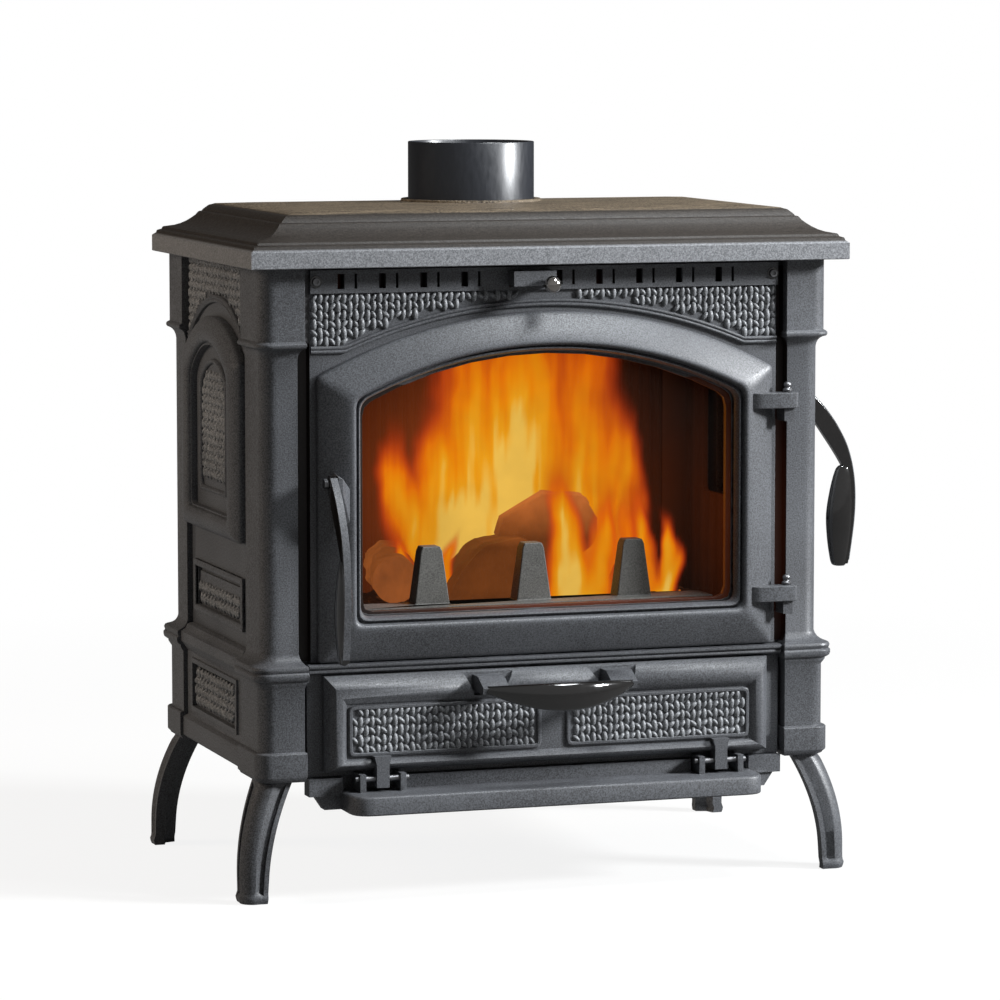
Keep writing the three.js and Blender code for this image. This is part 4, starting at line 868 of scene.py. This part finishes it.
def spline(points, steps=8):
    """A smooth line through the points."""
    ends = [points[0]] + points + [points[-1]]
    line = []
    for a, b, c, d in zip(ends, ends[1:], ends[2:], ends[3:]):
        for i in range(steps):
            t = i / steps
            line.append(tuple(
                0.5 * (2 * q + (r - p) * t + (2 * p - 5 * q + 4 * r - s) * t * t
                       + (3 * q - p - 3 * r + s) * t ** 3)
                for p, q, r, s in zip(a, b, c, d)))
    return line + [points[-1]]


strap_back = spline([(6.2, 6.5), (22, -10), (38, -32), (52, -60), (60, -96), (60.5, -140), (53, -198)])
strap_belly = spline([(48.5, -198), (55.5, -140), (55, -104), (46, -82), (34, -62), (16, -36), (-4, -8)])
hub = arc((0, 0), STRAP["hub"], 200, 60, 14)


def strap_slab(to_door):
    """The flat strap: round its hub, down its back and up its belly."""
    return loft([[to_door(reach, side, height) for reach, height in hub + strap_back + strap_belly]
                 for side in (-STRAP["half"], STRAP["half"])])


def strap_edge(to_door, thick=0.7):
    """A thin strip in the stove's grey paint along the strap's outer edge."""
    half = STRAP["half"] - 0.4
    rings = []
    for (x, z), (next_x, next_z) in zip(strap_back, strap_back[1:]):
        along = math.hypot(next_x - x, next_z - z) or 1
        away = ((z - next_z) / along * thick, (next_x - x) / along * thick)
        inner, outer = (x - away[0], z - away[1]), (x + away[0], z + away[1])
        rings.append([to_door(reach, side, height) for (reach, height), side in
                      ((inner, -half), (outer, -half), (outer, half), (inner, half))])
    return loft(rings)


# stations of (height, outer reach, depth): full in the middle, blunt at both ends
GRIP = [(-79, 53, 8), (-81, 55, 15), (-88, 57, 21), (-108, 58.6, 28), (-137, 59, 33), (-164, 57, 30),
        (-188, 53.4, 23), (-198, 51.4, 18), (-200.5, 49, 10)]
GRIP_WIDTH = 0.58     # of its depth


def grip_loft(to_door, sides=28):
    """Lens-shaped grip, oval in section."""
    rings = []
    for height, outer, depth in spline(GRIP, 5):
        deep, wide = depth / 2, depth * GRIP_WIDTH / 2
        angles = [math.tau * k / sides for k in range(sides)]
        rings.append([to_door(outer - deep + deep * math.cos(a), wide * math.sin(a), height)
                      for a in angles])
    return loft(rings)


enamel = Finish("gloss_black_enamel", "black_enamel", Specular_IOR_Level=0.8, Coat_Weight=1.0,
                Coat_Roughness=0.04)
enamel.paint("Base Color", enamel.blend(enamel.grain(40, 2), srgb(9, 8, 8), srgb(20, 18, 17)))
enamel.paint("Roughness", enamel.span(enamel.grain(160, 2), 0.3, 0.7, 0.08, 0.17))
enamel.paint("Normal", enamel.bump(enamel.grain(120, 2), 0.00006))
for handle, to_door in (("door", door_side), ("side", loading_side)):
    piece(f"{handle}_handle_strap", [strap_slab(to_door)], enamel, [f"{handle}_handle"], edge=0.9)
    piece(f"{handle}_strap_edge", [strap_edge(to_door)], iron, (), BODY_OF[f"{handle}_handle"], crease=60)
    piece(f"{handle}_grip", [grip_loft(to_door)], enamel, [f"{handle}_handle_grip"], crease=60)
    recast(f"{handle}_handle_pin", bare_steel, edge=0.4)


# ---- Sides ----
# Each side is a flat casting with a beaded arch and a sunk tablet. Inside the arch sits a bull-nosed
# arched door on the right, and the same casting as a blind panel on the left.

SIDE = {"middle": 17, "face": 333, "field": 125}

# arches as the fire door's: the casting's outline, its opening, and the pattern's field in that
SIDE_DOOR = (122, 400, 606, 654, 4)
SIDE_SIGHT = (84, 427, 582, 620, 8)
SIDE_PANEL = (51, 454, 572, 596, 6)

# rectangles as (low, high, foot, top)
TABLET_BORDER = (-109, 109, 296, 358)
TABLET_FIELD = (-88, 88, 314, 340)
PLINTH_FIELD = (-86, 86, 192, 225)


def side_wall(hand):
    """Brings (across, out, height) to the left (-1) or right (1) side's face."""
    return lambda across, out, height: (hand * (SIDE["face"] + out), SIDE["middle"] + across, height)


def rounded_rectangle(low, high, foot, top, corner, steps=6):
    """A rectangle from low to high across and from foot to top, its corners rounded."""
    return (turned((low, foot + corner), (low, foot), (low + corner, foot), steps)
            + turned((high - corner, foot), (high, foot), (high, foot + corner), steps)
            + turned((high, top - corner), (high, top), (high - corner, top), steps)
            + turned((low + corner, top), (low, top), (low, top - corner), steps))


def rectangle_frame(box, width, corner, section, wall):
    """A section of (inset 0..1, out) points swept round a rectangle with rounded corners."""
    rings = []
    for inset, out in section:
        by = inset * width
        radius = max(0.6, corner - by * 0.8)
        ring = rounded_rectangle(box[0] + by, box[1] - by, box[2] + by, box[3] - by, radius)
        rings.append([wall(across, out, height) for across, height in ring])
    return loft(rings, closed=True)


# sections of (inset 0..1, out): the arched casting, the bead round its tablet, the lower border
side_section = [
    (0, 0.6), (0, 8), (0.03, 10), (0.08, 11.8), (0.15, 13.8), (0.25, 15.7), (0.37, 17.2), (0.5, 18),
    (0.62, 18.1), (0.72, 17.6), (0.8, 16.6), (0.86, 15.2), (0.89, 13.4), (0.905, 11.2), (0.94, 11),
    (0.955, 12.2), (0.985, 12.2), (1, 11), (1, 0.6)]
rim_section = [(0, 3), (0, 6.2), (0.15, 8.2), (0.4, 9.2), (0.6, 9.2), (0.85, 8.2), (1, 6.2), (1, 3)]
border_section = [(0, -2), (0, 2.4), (0.12, 3.8), (0.4, 4.4), (0.6, 4.4), (0.88, 3.8), (1, 2.4), (1, -2)]
side_head_line = head_line(122, 629, 678, 129)
side_arm = [(349, 100), (352, 112), (358, 122)] + turned((358, 147), (358, 155), (351, 155), 4)
side_arm += [(345, 155), (341.5, 150), (341.5, 130), (343, 112)]
side_arms = [plan_slab(side_arm, z - 8, z + 8) for z in SIDE_HINGE["heights"]]
for hand, node, panel in ((-1, "left_arch_panel", "left_panel"), (1, "side_door", "right_panel")):
    side = "left" if hand < 0 else "right"
    wall = side_wall(hand)
    recast(panel, iron, edge=0.6)
    recast(f"{side}_plinth", iron, edge=0.8, crease=30)
    piece(f"{side}_head_bead", [double_bead(side_head_line, wall)], iron, (), "stove_body", crease=50)
    over = [(x * hand, z + PLAIN_EDGE) for x, z in side_head_line if abs(x) < SIDE["field"]]
    upper = [(end * SIDE["field"] * hand, plate_low.z / MM - 6) for end in (1, -1)]
    lower = [(end * SIDE["field"] * hand, side_head_line[0][1] + PLAIN_EDGE) for end in (-1, 1)]
    basket_relief(f"{side}_spandrel_pattern", [upper + lower[:1] + over + lower[1:]], wall, "stove_body",
                  SMALL_WEAVE, 17, -0.3)
    casting = [arch_frame(SIDE_DOOR, SIDE_SIGHT, side_section, wall),
               slab(arch_outline(*grown(SIDE_SIGHT, 4)), 1.4, 5, wall),
               arch_frame(grown(SIDE_PANEL, 8), grown(SIDE_PANEL, 2), rim_section, wall)]
    piece(f"{side}_arched_casting", casting, iron, [node], crease=34)
    tablet = arch_outline(*grown(SIDE_PANEL, -4))
    basket_relief(f"{side}_arch_pattern", [[(x * hand, z) for x, z in tablet]], wall, BODY_OF[node],
                  SMALL_WEAVE, 5, 4.6)
    border = rectangle_frame(TABLET_BORDER, 8, 6, border_section, wall)
    piece(f"{side}_tablet_border", [border], iron, (), "stove_body", crease=40)
    for field, box, seed, out in (("tablet", TABLET_FIELD, 8, -0.7), ("plinth", PLINTH_FIELD, 11, 5.8)):
        basket_relief(f"{side}_{field}_pattern", [rounded_rectangle(*box, 3)], wall, "stove_body",
                      SMALL_WEAVE, seed, out)
piece("loading_door_fittings", side_arms + [handle_lug(loading_side)], iron, (), "side_door", edge=1.2)


# ---- Air control ----
# Cast slider behind the strip with a finger block that stands out through its window, and a chromed
# ball knob screwed to the block. Two socket screws hold the strip, each ringed by a black disc: painted
# shade round its head.

recast("air_slider", iron, edge=0.7)

chrome = Finish("chrome_plate", "chrome", Metallic=1.0, Roughness=0.07, Specular_IOR_Level=0.5)
hazed = chrome.grain(60, 3, 0.6)
chrome.paint("Base Color", chrome.blend(hazed, srgb(150, 144, 138), srgb(196, 192, 188)))
chrome.paint("Roughness", chrome.span(hazed, 0.3, 0.7, 0.05, 0.16))
KNOB = {"x": -5, "z": 697.8, "back": -214.4, "radius": 10}
collar = [(0.2, 0), (5.2, 0), (5.6, 0.5), (5.6, 1.6), (4.6, 2.4), (4.6, 3)]
ball = collar + arc((0, KNOB["radius"]), KNOB["radius"], -44, 82, 21) + [(0.2, 2 * KNOB["radius"])]


def along_front(profile, x, z, back, sides, closed=False):
    """A profile of (radius, out) points turned round an axis that stands out from the front."""
    angles = [math.tau * i / sides for i in range(sides)]
    return loft([[(x + radius * math.cos(a), back - out, z + radius * math.sin(a)) for a in angles]
                 for radius, out in profile], closed)


turned_ball = along_front(ball, KNOB["x"], KNOB["z"], KNOB["back"], 48)
piece("ball_knob", [turned_ball], chrome, ["air_knob"], crease=40)

VENT_SCREW = {"x": 276.5, "z": 704}
for side, hand in ((-1, "left"), (1, "right")):
    low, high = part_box(f"vent_screw_{hand}")
    out = (high.y - low.y) / MM
    head = [(0.2, 0), (2.4, 0), (2.4, out - 3.6), (4.2, out - 3.6), (4.6, out - 3), (4.6, out - 0.6),
            (4.1, out), (2.5, out), (2.4, out - 2.2), (0.2, out - 2.2)]
    back = (high.y - MIDDLE.y) / MM
    piece(f"socket_screw_{hand}", [along_front(head, side * VENT_SCREW["x"], VENT_SCREW["z"], back, 24)],
          bare_steel, [f"vent_screw_{hand}"], crease=40)
    # a black ring round each screw head: painted shade
    shade_ring_section = [(4.4, out - 3.7), (7, out - 3.7), (7, out - 3.2), (6.7, out - 2.9), (4.4, out - 2.9)]
    ring = along_front(shade_ring_section, side * VENT_SCREW["x"], VENT_SCREW["z"], back, 32, closed=True)
    piece(f"screw_painted_shade_ring_{hand}", [ring], enamel, (), "stove_body", crease=40)


# ---- Ash flap ----
# Cast flap over the ash compartment: a rolled rim round a sunk face, two bordered panels of the same
# basket pattern, the handle's lugs on its upper rim, and two hinge straps on steel pins.

recast("ash_flap", iron, edge=0.8, crease=32)
FLAP = {"face": -204, "panels": ((-244, -12), (18, 245)), "foot": 163, "top": 222, "border": 8}


def flap_wall(across, out, height):
    """Brings (across, out, height) to the ash flap's face."""
    return (across, FLAP["face"] - out, height)


margin = FLAP["border"]
flap_panels = [rounded_rectangle(low + margin, high - margin, FLAP["foot"] + margin, FLAP["top"] - margin, 3)
               for low, high in FLAP["panels"]]
basket_relief("flap_basket_pattern", flap_panels, flap_wall, "ash_flap", SMALL_WEAVE, 14, -0.3)


def flap_grip(steps=56, sides=32):
    """Bowed grip, widest at the middle, with a flat top and a full round front."""
    rings = []
    for i in range(steps + 1):
        t = 2 * i / steps - 1
        bow = 1 - t * t
        high, deep = 3 + 13.5 * bow, 3.5 + 4.5 * bow
        middle_y, middle_z = FLAP["face"] - 29 - 32 * bow, 238 - 8 * bow
        ring = []
        for k in range(sides):
            c, s = math.cos(math.tau * k / sides), math.sin(math.tau * k / sides)
            ring.append((92 * t, middle_y + deep * math.copysign(abs(c) ** 0.8, c),
                         middle_z + high * math.copysign(abs(s) ** 0.8, s)))
        rings.append(ring)
    return loft(rings)


piece("flap_grip", [flap_grip()], enamel, ["ash_flap_handle"], crease=60)
for side in ("left", "right"):
    recast(f"flap_pin_{side}", bare_steel, edge=0.5)


# ---- Ash shelf ----
# Thick cast shelf with rounded front corners that catches falling ash. It carries the hinge ears, and a
# sill with a pocket for each hinge closes the gap to the base. Its front edge is bare.

recast("ash_shelf", iron, edge=0.9)


# ---- Ash drawer and its rails ----
# Folded sheet-steel drawer with a bail on its front, sliding on two plain rails. Ash has greyed it.

drawer_steel = Finish("ashy_sheet_steel", "steel", Metallic=0.85, Roughness=0.55)
dusty = drawer_steel.grain(26, 4, 0.6)
ash_cover = drawer_steel.span(dusty, 0.35, 0.7)
drawer_steel.paint("Base Color", drawer_steel.blend(ash_cover, srgb(92, 93, 96), srgb(150, 148, 144)))
drawer_steel.paint("Roughness", drawer_steel.span(dusty, 0.3, 0.7, 0.42, 0.75))
recast("ash_drawer", drawer_steel, edge=0.4)
for side in ("left", "right"):
    recast(f"drawer_runner_{side}", drawer_steel, edge=0.6)


# ---- Back and base ----
# Plain cast plates: the back reaches in behind the rear posts and has a flange there at each side, and
# the base carries the hearth above it.

recast("back_panel", iron, edge=0.8)
panel_low, panel_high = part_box("back_panel")
clean_iron = cast_iron("paint_on_flanges", *STOVE_PAINT, sooty_and_firelit_inside=False)
FLANGE = {"from": 299, "overlap": 2, "layers": ((-1, -6), (-6.4, -13))}


def back_wall(across, out, height):
    """Brings (across, out, height) to the back panel's outermost face."""
    return (across, (panel_high.y - MIDDLE.y) / MM + out, height)


panel_edge = (panel_high.x - MIDDLE.x) / MM - FLANGE["overlap"]
foot, head = panel_low.z / MM + 1, panel_high.z / MM - 1
for side, hand in ((-1, "left"), (1, "right")):
    strip = [(side * panel_edge, foot), (side * panel_edge, head), (side * FLANGE["from"], head),
             (side * FLANGE["from"], foot)]
    layers = [slab(strip, *layer, back_wall) for layer in FLANGE["layers"]]
    piece(f"back_panel_flange_{hand}", layers, clean_iron, (), "stove_body", edge=0.6)
recast("base_plate", iron, edge=0.8)


# ---- Fire chamber ----
# Ribbed cast linings stand on the cast hearth round the grate, with a baffle plate over them. A ledge
# with three tapering posts keeps the logs off the glass. Soot has browned them, and firelight is painted
# on them as an emission colour that fades with the distance from the fire.

def sooty_and_firelit(name, dark, light, glow, slot="cast_iron", reach=SOOT_AND_FIRELIGHT["reach"]):
    """Iron browned by soot, with painted firelight: an emission colour that fades with the distance from the
    fire.
    """
    finish = Finish(name, slot, Roughness=0.8, Specular_IOR_Level=0.1, Emission_Strength=1.0)
    crust = finish.grain(160, 3, 0.6, (1, 1, 0.3))
    finish.paint("Base Color", finish.blend(finish.span(crust, 0.35, 0.7), dark, light))
    finish.paint("Emission Color", fire_light(finish, glow, reach))
    finish.paint("Normal", finish.bump(crust, 0.0004))
    return finish


sooty_firelit_iron = sooty_and_firelit("sooty_lining_painted_firelight", SOOT_AND_FIRELIGHT["dark"], SOOT_AND_FIRELIGHT["light"], SOOT_AND_FIRELIGHT["glow"])
LINING = {"foot": 287, "top": 640, "thick": 6, "rib": 4.4, "back": 180.6, "side": -307}
RIB = [(0, 0), (0.18, 0), (0.3, 0.7), (0.42, 1), (0.62, 1), (0.74, 0.7), (0.86, 0)]   # of pitch and rise


def ribbed_plate(low, high, pitch, to_wall):
    """A plate with rounded upright ribs; to_wall brings (along, out) to plan."""
    count = round((high - low) / pitch)
    step = (high - low) / count
    plan = [(low, -LINING["thick"])]
    for i in range(count):
        plan += [(low + step * (i + part), rise * LINING["rib"]) for part, rise in RIB]
    plan += [(high, 0), (high, -LINING["thick"])]
    return loft([[(*to_wall(along, out), z) for along, out in plan]
                 for z in (LINING["foot"], LINING["top"])])


back_ribs = ribbed_plate(-280, 280, 14, lambda along, out: (along, LINING["back"] - out))
piece("back_lining_plate", [back_ribs], sooty_firelit_iron, ["back_lining"], crease=50)
left_ribs = ribbed_plate(-148, 172, 10, lambda along, out: (LINING["side"] + out, along))
piece("left_lining_plate", [left_ribs], sooty_firelit_iron, ["left_lining"], crease=50)
recast("right_lining", sooty_firelit_iron, edge=0.6)
recast("hearth", sooty_firelit_iron, edge=0.8)
recast("grate", sooty_firelit_iron, edge=0.8)
# the log guard is painted lighter than the stove's paint, as painted firelight
guard_iron_painted_firelit = cast_iron("iron_by_the_glass_painted_firelit", srgb(84, 83, 80), srgb(124, 123, 119), sooty_and_firelit_inside=False)
recast("log_guard", guard_iron_painted_firelit, edge=1.4)
sooty_firelit_mouth = sooty_and_firelit("soot_in_side_mouth_painted_firelight", SOOT_AND_FIRELIGHT["dark"], SOOT_AND_FIRELIGHT["light"], SOOT_AND_FIRELIGHT["glow"],
                      reach=SOOT_AND_FIRELIGHT["reach_in_side_mouth"])
# the backs of the side sights: soot, and painted firelight that reaches a little further
for hand, name, body in ((-1, "left_panel", "stove_body"), (1, "right_door", "side_door")):
    skin = slab(arch_outline(*grown(SIDE_SIGHT, 4)), 0.6, 1.3, side_wall(hand))
    piece(f"sooty_back_of_{name}", [skin], sooty_firelit_mouth, (), body)


# ---- Logs and embers ----
# Split and round logs lie on a bed of ash and embers on the hearth. They are loose, burn away, and are
# here only to show the stove alight.

char = Finish("charred_split_wood", None, Specular_IOR_Level=0.1, Emission_Strength=1.0)
fibre = char.grain(120, 4, 0.65, (1, 0.4, 0.6))
glow_patches = char.grain(22, 3, 0.6)
char.paint("Base Color", char.blend(char.span(fibre, 0.35, 0.7), srgb(26, 13, 8), srgb(72, 36, 19)))
char.paint("Roughness", char.span(fibre, 0.3, 0.7, 0.75, 0.95))
char.paint("Normal", char.bump(fibre, 0.0008))
# painted firelight on the logs: an emission colour that grows with height, is twice as strong at the far
# left, and comes in uneven patches
raised = char.span(char.axis("Z"), 0.375, 0.43, 1.0, 4.6)
outer = char.span(char.axis("X"), MIDDLE.x - 0.11, MIDDLE.x - 0.09, 2.0, 1.0)
painted_firelight_on_logs = raised * outer * char.span(glow_patches, 0.3, 0.75, 0.75, 1.3) * 0.22
char.paint("Emission Color", char.blend(painted_firelight_on_logs, (0.01, 0.003, 0.001, 1), (0.66, 0.18, 0.038, 1)))


def log(outline, front, back, lean, seed, steps=14):
    """A log laid from front to back: an outline carried back with a lean, its skin roughened."""
    rings = []
    for i in range(steps + 1):
        t = i / steps
        ring = []
        for x, z in spline(outline + [outline[0]], 4)[:-1]:
            rough = noise.noise(Vector((x / 16, z / 16, t * 7 + seed))) * (0.6 + 3 * min(1, t * 6))
            ring.append((x * (1 + rough / 60) + lean[0] * t, front + (back - front) * t + rough * 0.8,
                         z + rough * 0.7 + lean[1] * t))
        rings.append(ring)
    return loft(rings)


around = [math.tau * i / 14 for i in range(14)]
round_log = [(-131 + 28 * math.cos(a), 340 + 27 * math.sin(a)) for a in around]
split_log = [(-68, 306), (-60, 328), (-46, 350), (-31, 367), (-18, 377), (-12, 379), (20, 384), (30, 383),
             (60, 366), (66, 360), (72, 318), (40, 291), (-46, 289)]
upper_log = [(16, 380), (22, 399), (27, 404), (68, 426), (76, 429), (118, 426), (126, 422), (140, 402),
             (142, 396), (138, 368), (104, 352), (40, 358)]
side_log = [(150, 296), (158, 330), (176, 346), (196, 338), (206, 312), (196, 292)]
piece("logs", [log(round_log, -24, 120, (34, 4), 1), log(split_log, -24, 150, (24, -4), 2),
               log(upper_log, 36, 165, (20, 6), 3), log(side_log, -6, 140, (30, 4), 4)],
      char, (), "stove_body", crease=60)

embers = sooty_and_firelit("ash_and_embers", srgb(16, 12, 10), srgb(62, 52, 46), (0.9, 0.25, 0.05, 1), None, 0.26)
clumps = embers.grain(150, 4, 0.7)
hot = embers.span(clumps, 0.6, 0.68) * embers.span(embers.grain(16, 2), 0.5, 0.62)
embers.paint("Emission Color", embers.blend(hot, (0.012, 0.004, 0.002, 1), (1.6, 0.4, 0.05, 1)))
BED = {"half": 276, "front": -114, "back": 146, "cell": (5.3, 5.4), "columns": 105, "rows": 49,
       "foot": 286.8, "low": 287.5, "deep": 22, "lumps": 9}
bed = []
for row in range(BED["rows"]):
    y = BED["front"] + row * BED["cell"][1]
    line = []
    for column in range(BED["columns"]):
        x = -BED["half"] + column * BED["cell"][0]
        slope = max(0, min(1, (y - BED["front"]) / 40, (BED["back"] - y) / 20,
                           (x + BED["half"]) / 40, (BED["half"] - x) / 30))
        lumps = noise.fractal(Vector((x / 22, y / 22, 4)), 1.0, 2.0, 4) * BED["lumps"]
        line.append((x, y, BED["low"] + max(0, BED["deep"] * math.sqrt(slope) + lumps * slope)))
    bed.append(line)
front_foot, back_foot = [[(x, y, BED["foot"]) for x, y, z in row] for row in (bed[0], bed[-1])]
ash_bed = loft([front_foot] + bed + [back_foot], capped=False)
piece("ember_bed", [ash_bed], embers, (), "stove_body", crease=60)


# ---- Flames ----
# Thin burning gas, drawn as wavy see-through sheets. Each tongue rises from the logs and narrows; it is
# palest in its heart and reddens towards its tip and edges.

flame = Finish("flames", None, Base_Color=(0, 0, 0, 1), Roughness=1.0, Specular_IOR_Level=0.0,
               Emission_Strength=1.0)
heat = flame.node("ShaderNodeAttribute", {"attribute_name": "flame_heat"}, out="Fac")
flame.paint("Emission Color", flame.node("ShaderNodeValToRGB", {"stops": [
    (0.0, srgb(176, 46, 12)), (0.2, srgb(206, 62, 16)), (0.38, srgb(230, 84, 18)),
    (0.56, srgb(240, 112, 8)), (0.74, srgb(248, 146, 10)), (0.88, srgb(250, 168, 28)),
    (1.0, srgb(252, 200, 86))]}, {0: heat}))
flame.paint("Alpha", flame.span(heat, 0.0, 0.62) * flame.span(heat, -0.3, 0.3, 0.6, 1.0))


def smooth(value, low, high):
    """0 below low, 1 above high, and an even curve between them."""
    t = min(1, max(0, (value - low) / (high - low)))
    return t * t * (3 - 2 * t)


FLAME_CELL = 3.4
BLEND = 2.4           # how sharply one tongue takes over from the next


def flame_sheet(depth, across, upright, tongues, hearts, seed):
    """A wavy grid, each point's heat the sum of its tongues and hearts. Returns points, faces, heats."""
    columns = round((across[1] - across[0]) / FLAME_CELL)
    rows = round((upright[1] - upright[0]) / FLAME_CELL)
    points, heats = [], []
    for row in range(rows + 1):
        z = upright[0] + (upright[1] - upright[0]) * row / rows
        for column in range(columns + 1):
            x = across[0] + (across[1] - across[0]) * column / columns
            lick = 8 * noise.noise(Vector((x / 34, z / 52, seed)))
            lick += 3.5 * noise.noise(Vector((x / 13, z / 26, seed)))
            total = 0
            for foot_x, foot, bend, tip_x, tip, wide, narrow, strength in tongues:
                t = (z - foot) / (tip - foot)
                middle = (1 - t) ** 2 * foot_x + 2 * t * (1 - t) * bend + t * t * tip_x
                off = (x + lick * (0.4 + t) - middle) / max(2, wide + (narrow - wide) * t)
                ends = (1 - smooth(t, 0.6, 1.08)) * smooth(t, -0.12, 0.03)
                total += (strength * max(0, 1 - abs(off) ** 1.7) * ends) ** BLEND
            total = total ** (1 / BLEND) * (1 - 0.36 * smooth(z, 430, 640))
            for heart_x, heart_z, wide, tall, extra in hearts:
                total += extra * math.exp(-((x - heart_x) / wide) ** 2 - ((z - heart_z) / tall) ** 2)
            streak = noise.noise(Vector((x / 11 + lick / 16, z / 95, seed + 3)))
            streak += 0.5 * noise.noise(Vector((x / 5, z / 60, seed + 5)))
            inside = smooth(min(x - across[0], across[1] - x, upright[1] - z), 0, 14)
            heats.append(max(0, min(1, total * (1 + 0.2 * streak) * inside)))
            points.append((x, depth + 12 * noise.noise(Vector((x / 60, z / 80, seed))), z))
    width = columns + 1
    faces = [(row * width + i, row * width + i + 1, (row + 1) * width + i + 1, (row + 1) * width + i)
             for row in range(rows) for i in range(columns)]
    return points, faces, heats


# tongue: foot across, foot height, bend across, tip across, tip height, width at foot and tip, strength;
# heart: across, height, width, tallness, extra heat
behind = flame_sheet(66, (-150, 276), (292, 637), [
    (-50, 330, -116, -106, 520, 50, 14, 0.78), (-26, 330, -62, -50, 548, 64, 22, 0.86),
    (10, 320, -6, -8, 740, 74, 56, 0.92), (64, 320, 60, 66, 740, 80, 66, 0.96),
    (128, 310, 152, 124, 740, 62, 44, 0.82), (180, 300, 202, 168, 580, 44, 22, 0.74)],
    [(-22, 402, 44, 40, 0.16), (44, 450, 26, 74, 0.16), (64, 560, 26, 90, 0.06)], 2.3)
among = flame_sheet(-38, (40, 178), (300, 486), [
    (84, 300, 80, 64, 474, 40, 18, 0.96), (112, 300, 130, 122, 450, 30, 14, 0.74),
    (146, 300, 160, 152, 452, 24, 10, 0.6)], [(86, 330, 26, 34, 0.16)], 8.1)
beside = flame_sheet(-20, (146, 244), (296, 452), [
    (184, 300, 190, 172, 446, 24, 7, 0.8), (204, 300, 224, 208, 412, 20, 6, 0.84),
    (192, 296, 238, 224, 380, 18, 6, 0.7)], [], 5.7)
left_licks = flame_sheet(20, (-136, -16), (300, 426), [
    (-84, 310, -112, -112, 394, 18, 7, 0.76), (-52, 320, -62, -46, 392, 17, 6, 0.72)], [], 6.4)
for name, (points, faces, heats) in (("flames_behind_logs", behind), ("flames_among_logs", among),
                                     ("flames_beside_logs", beside), ("flames_over_round_log", left_licks)):
    sheet = piece(name, [(points, faces)], flame, (), "stove_body", crease=180)
    sheet.data.attributes.new("flame_heat", "FLOAT", "POINT").data.foreach_set("value", heats)


# ---- Seal and baffle ----
# What no piece above stands for is shown as the frame has it, in the stove's paint: the seal round the
# fire door's back, and the baffle plate over the fire.

for node, holder in frame["nodes"].items():
    if not holder.hide_render:
        dress(node, iron)
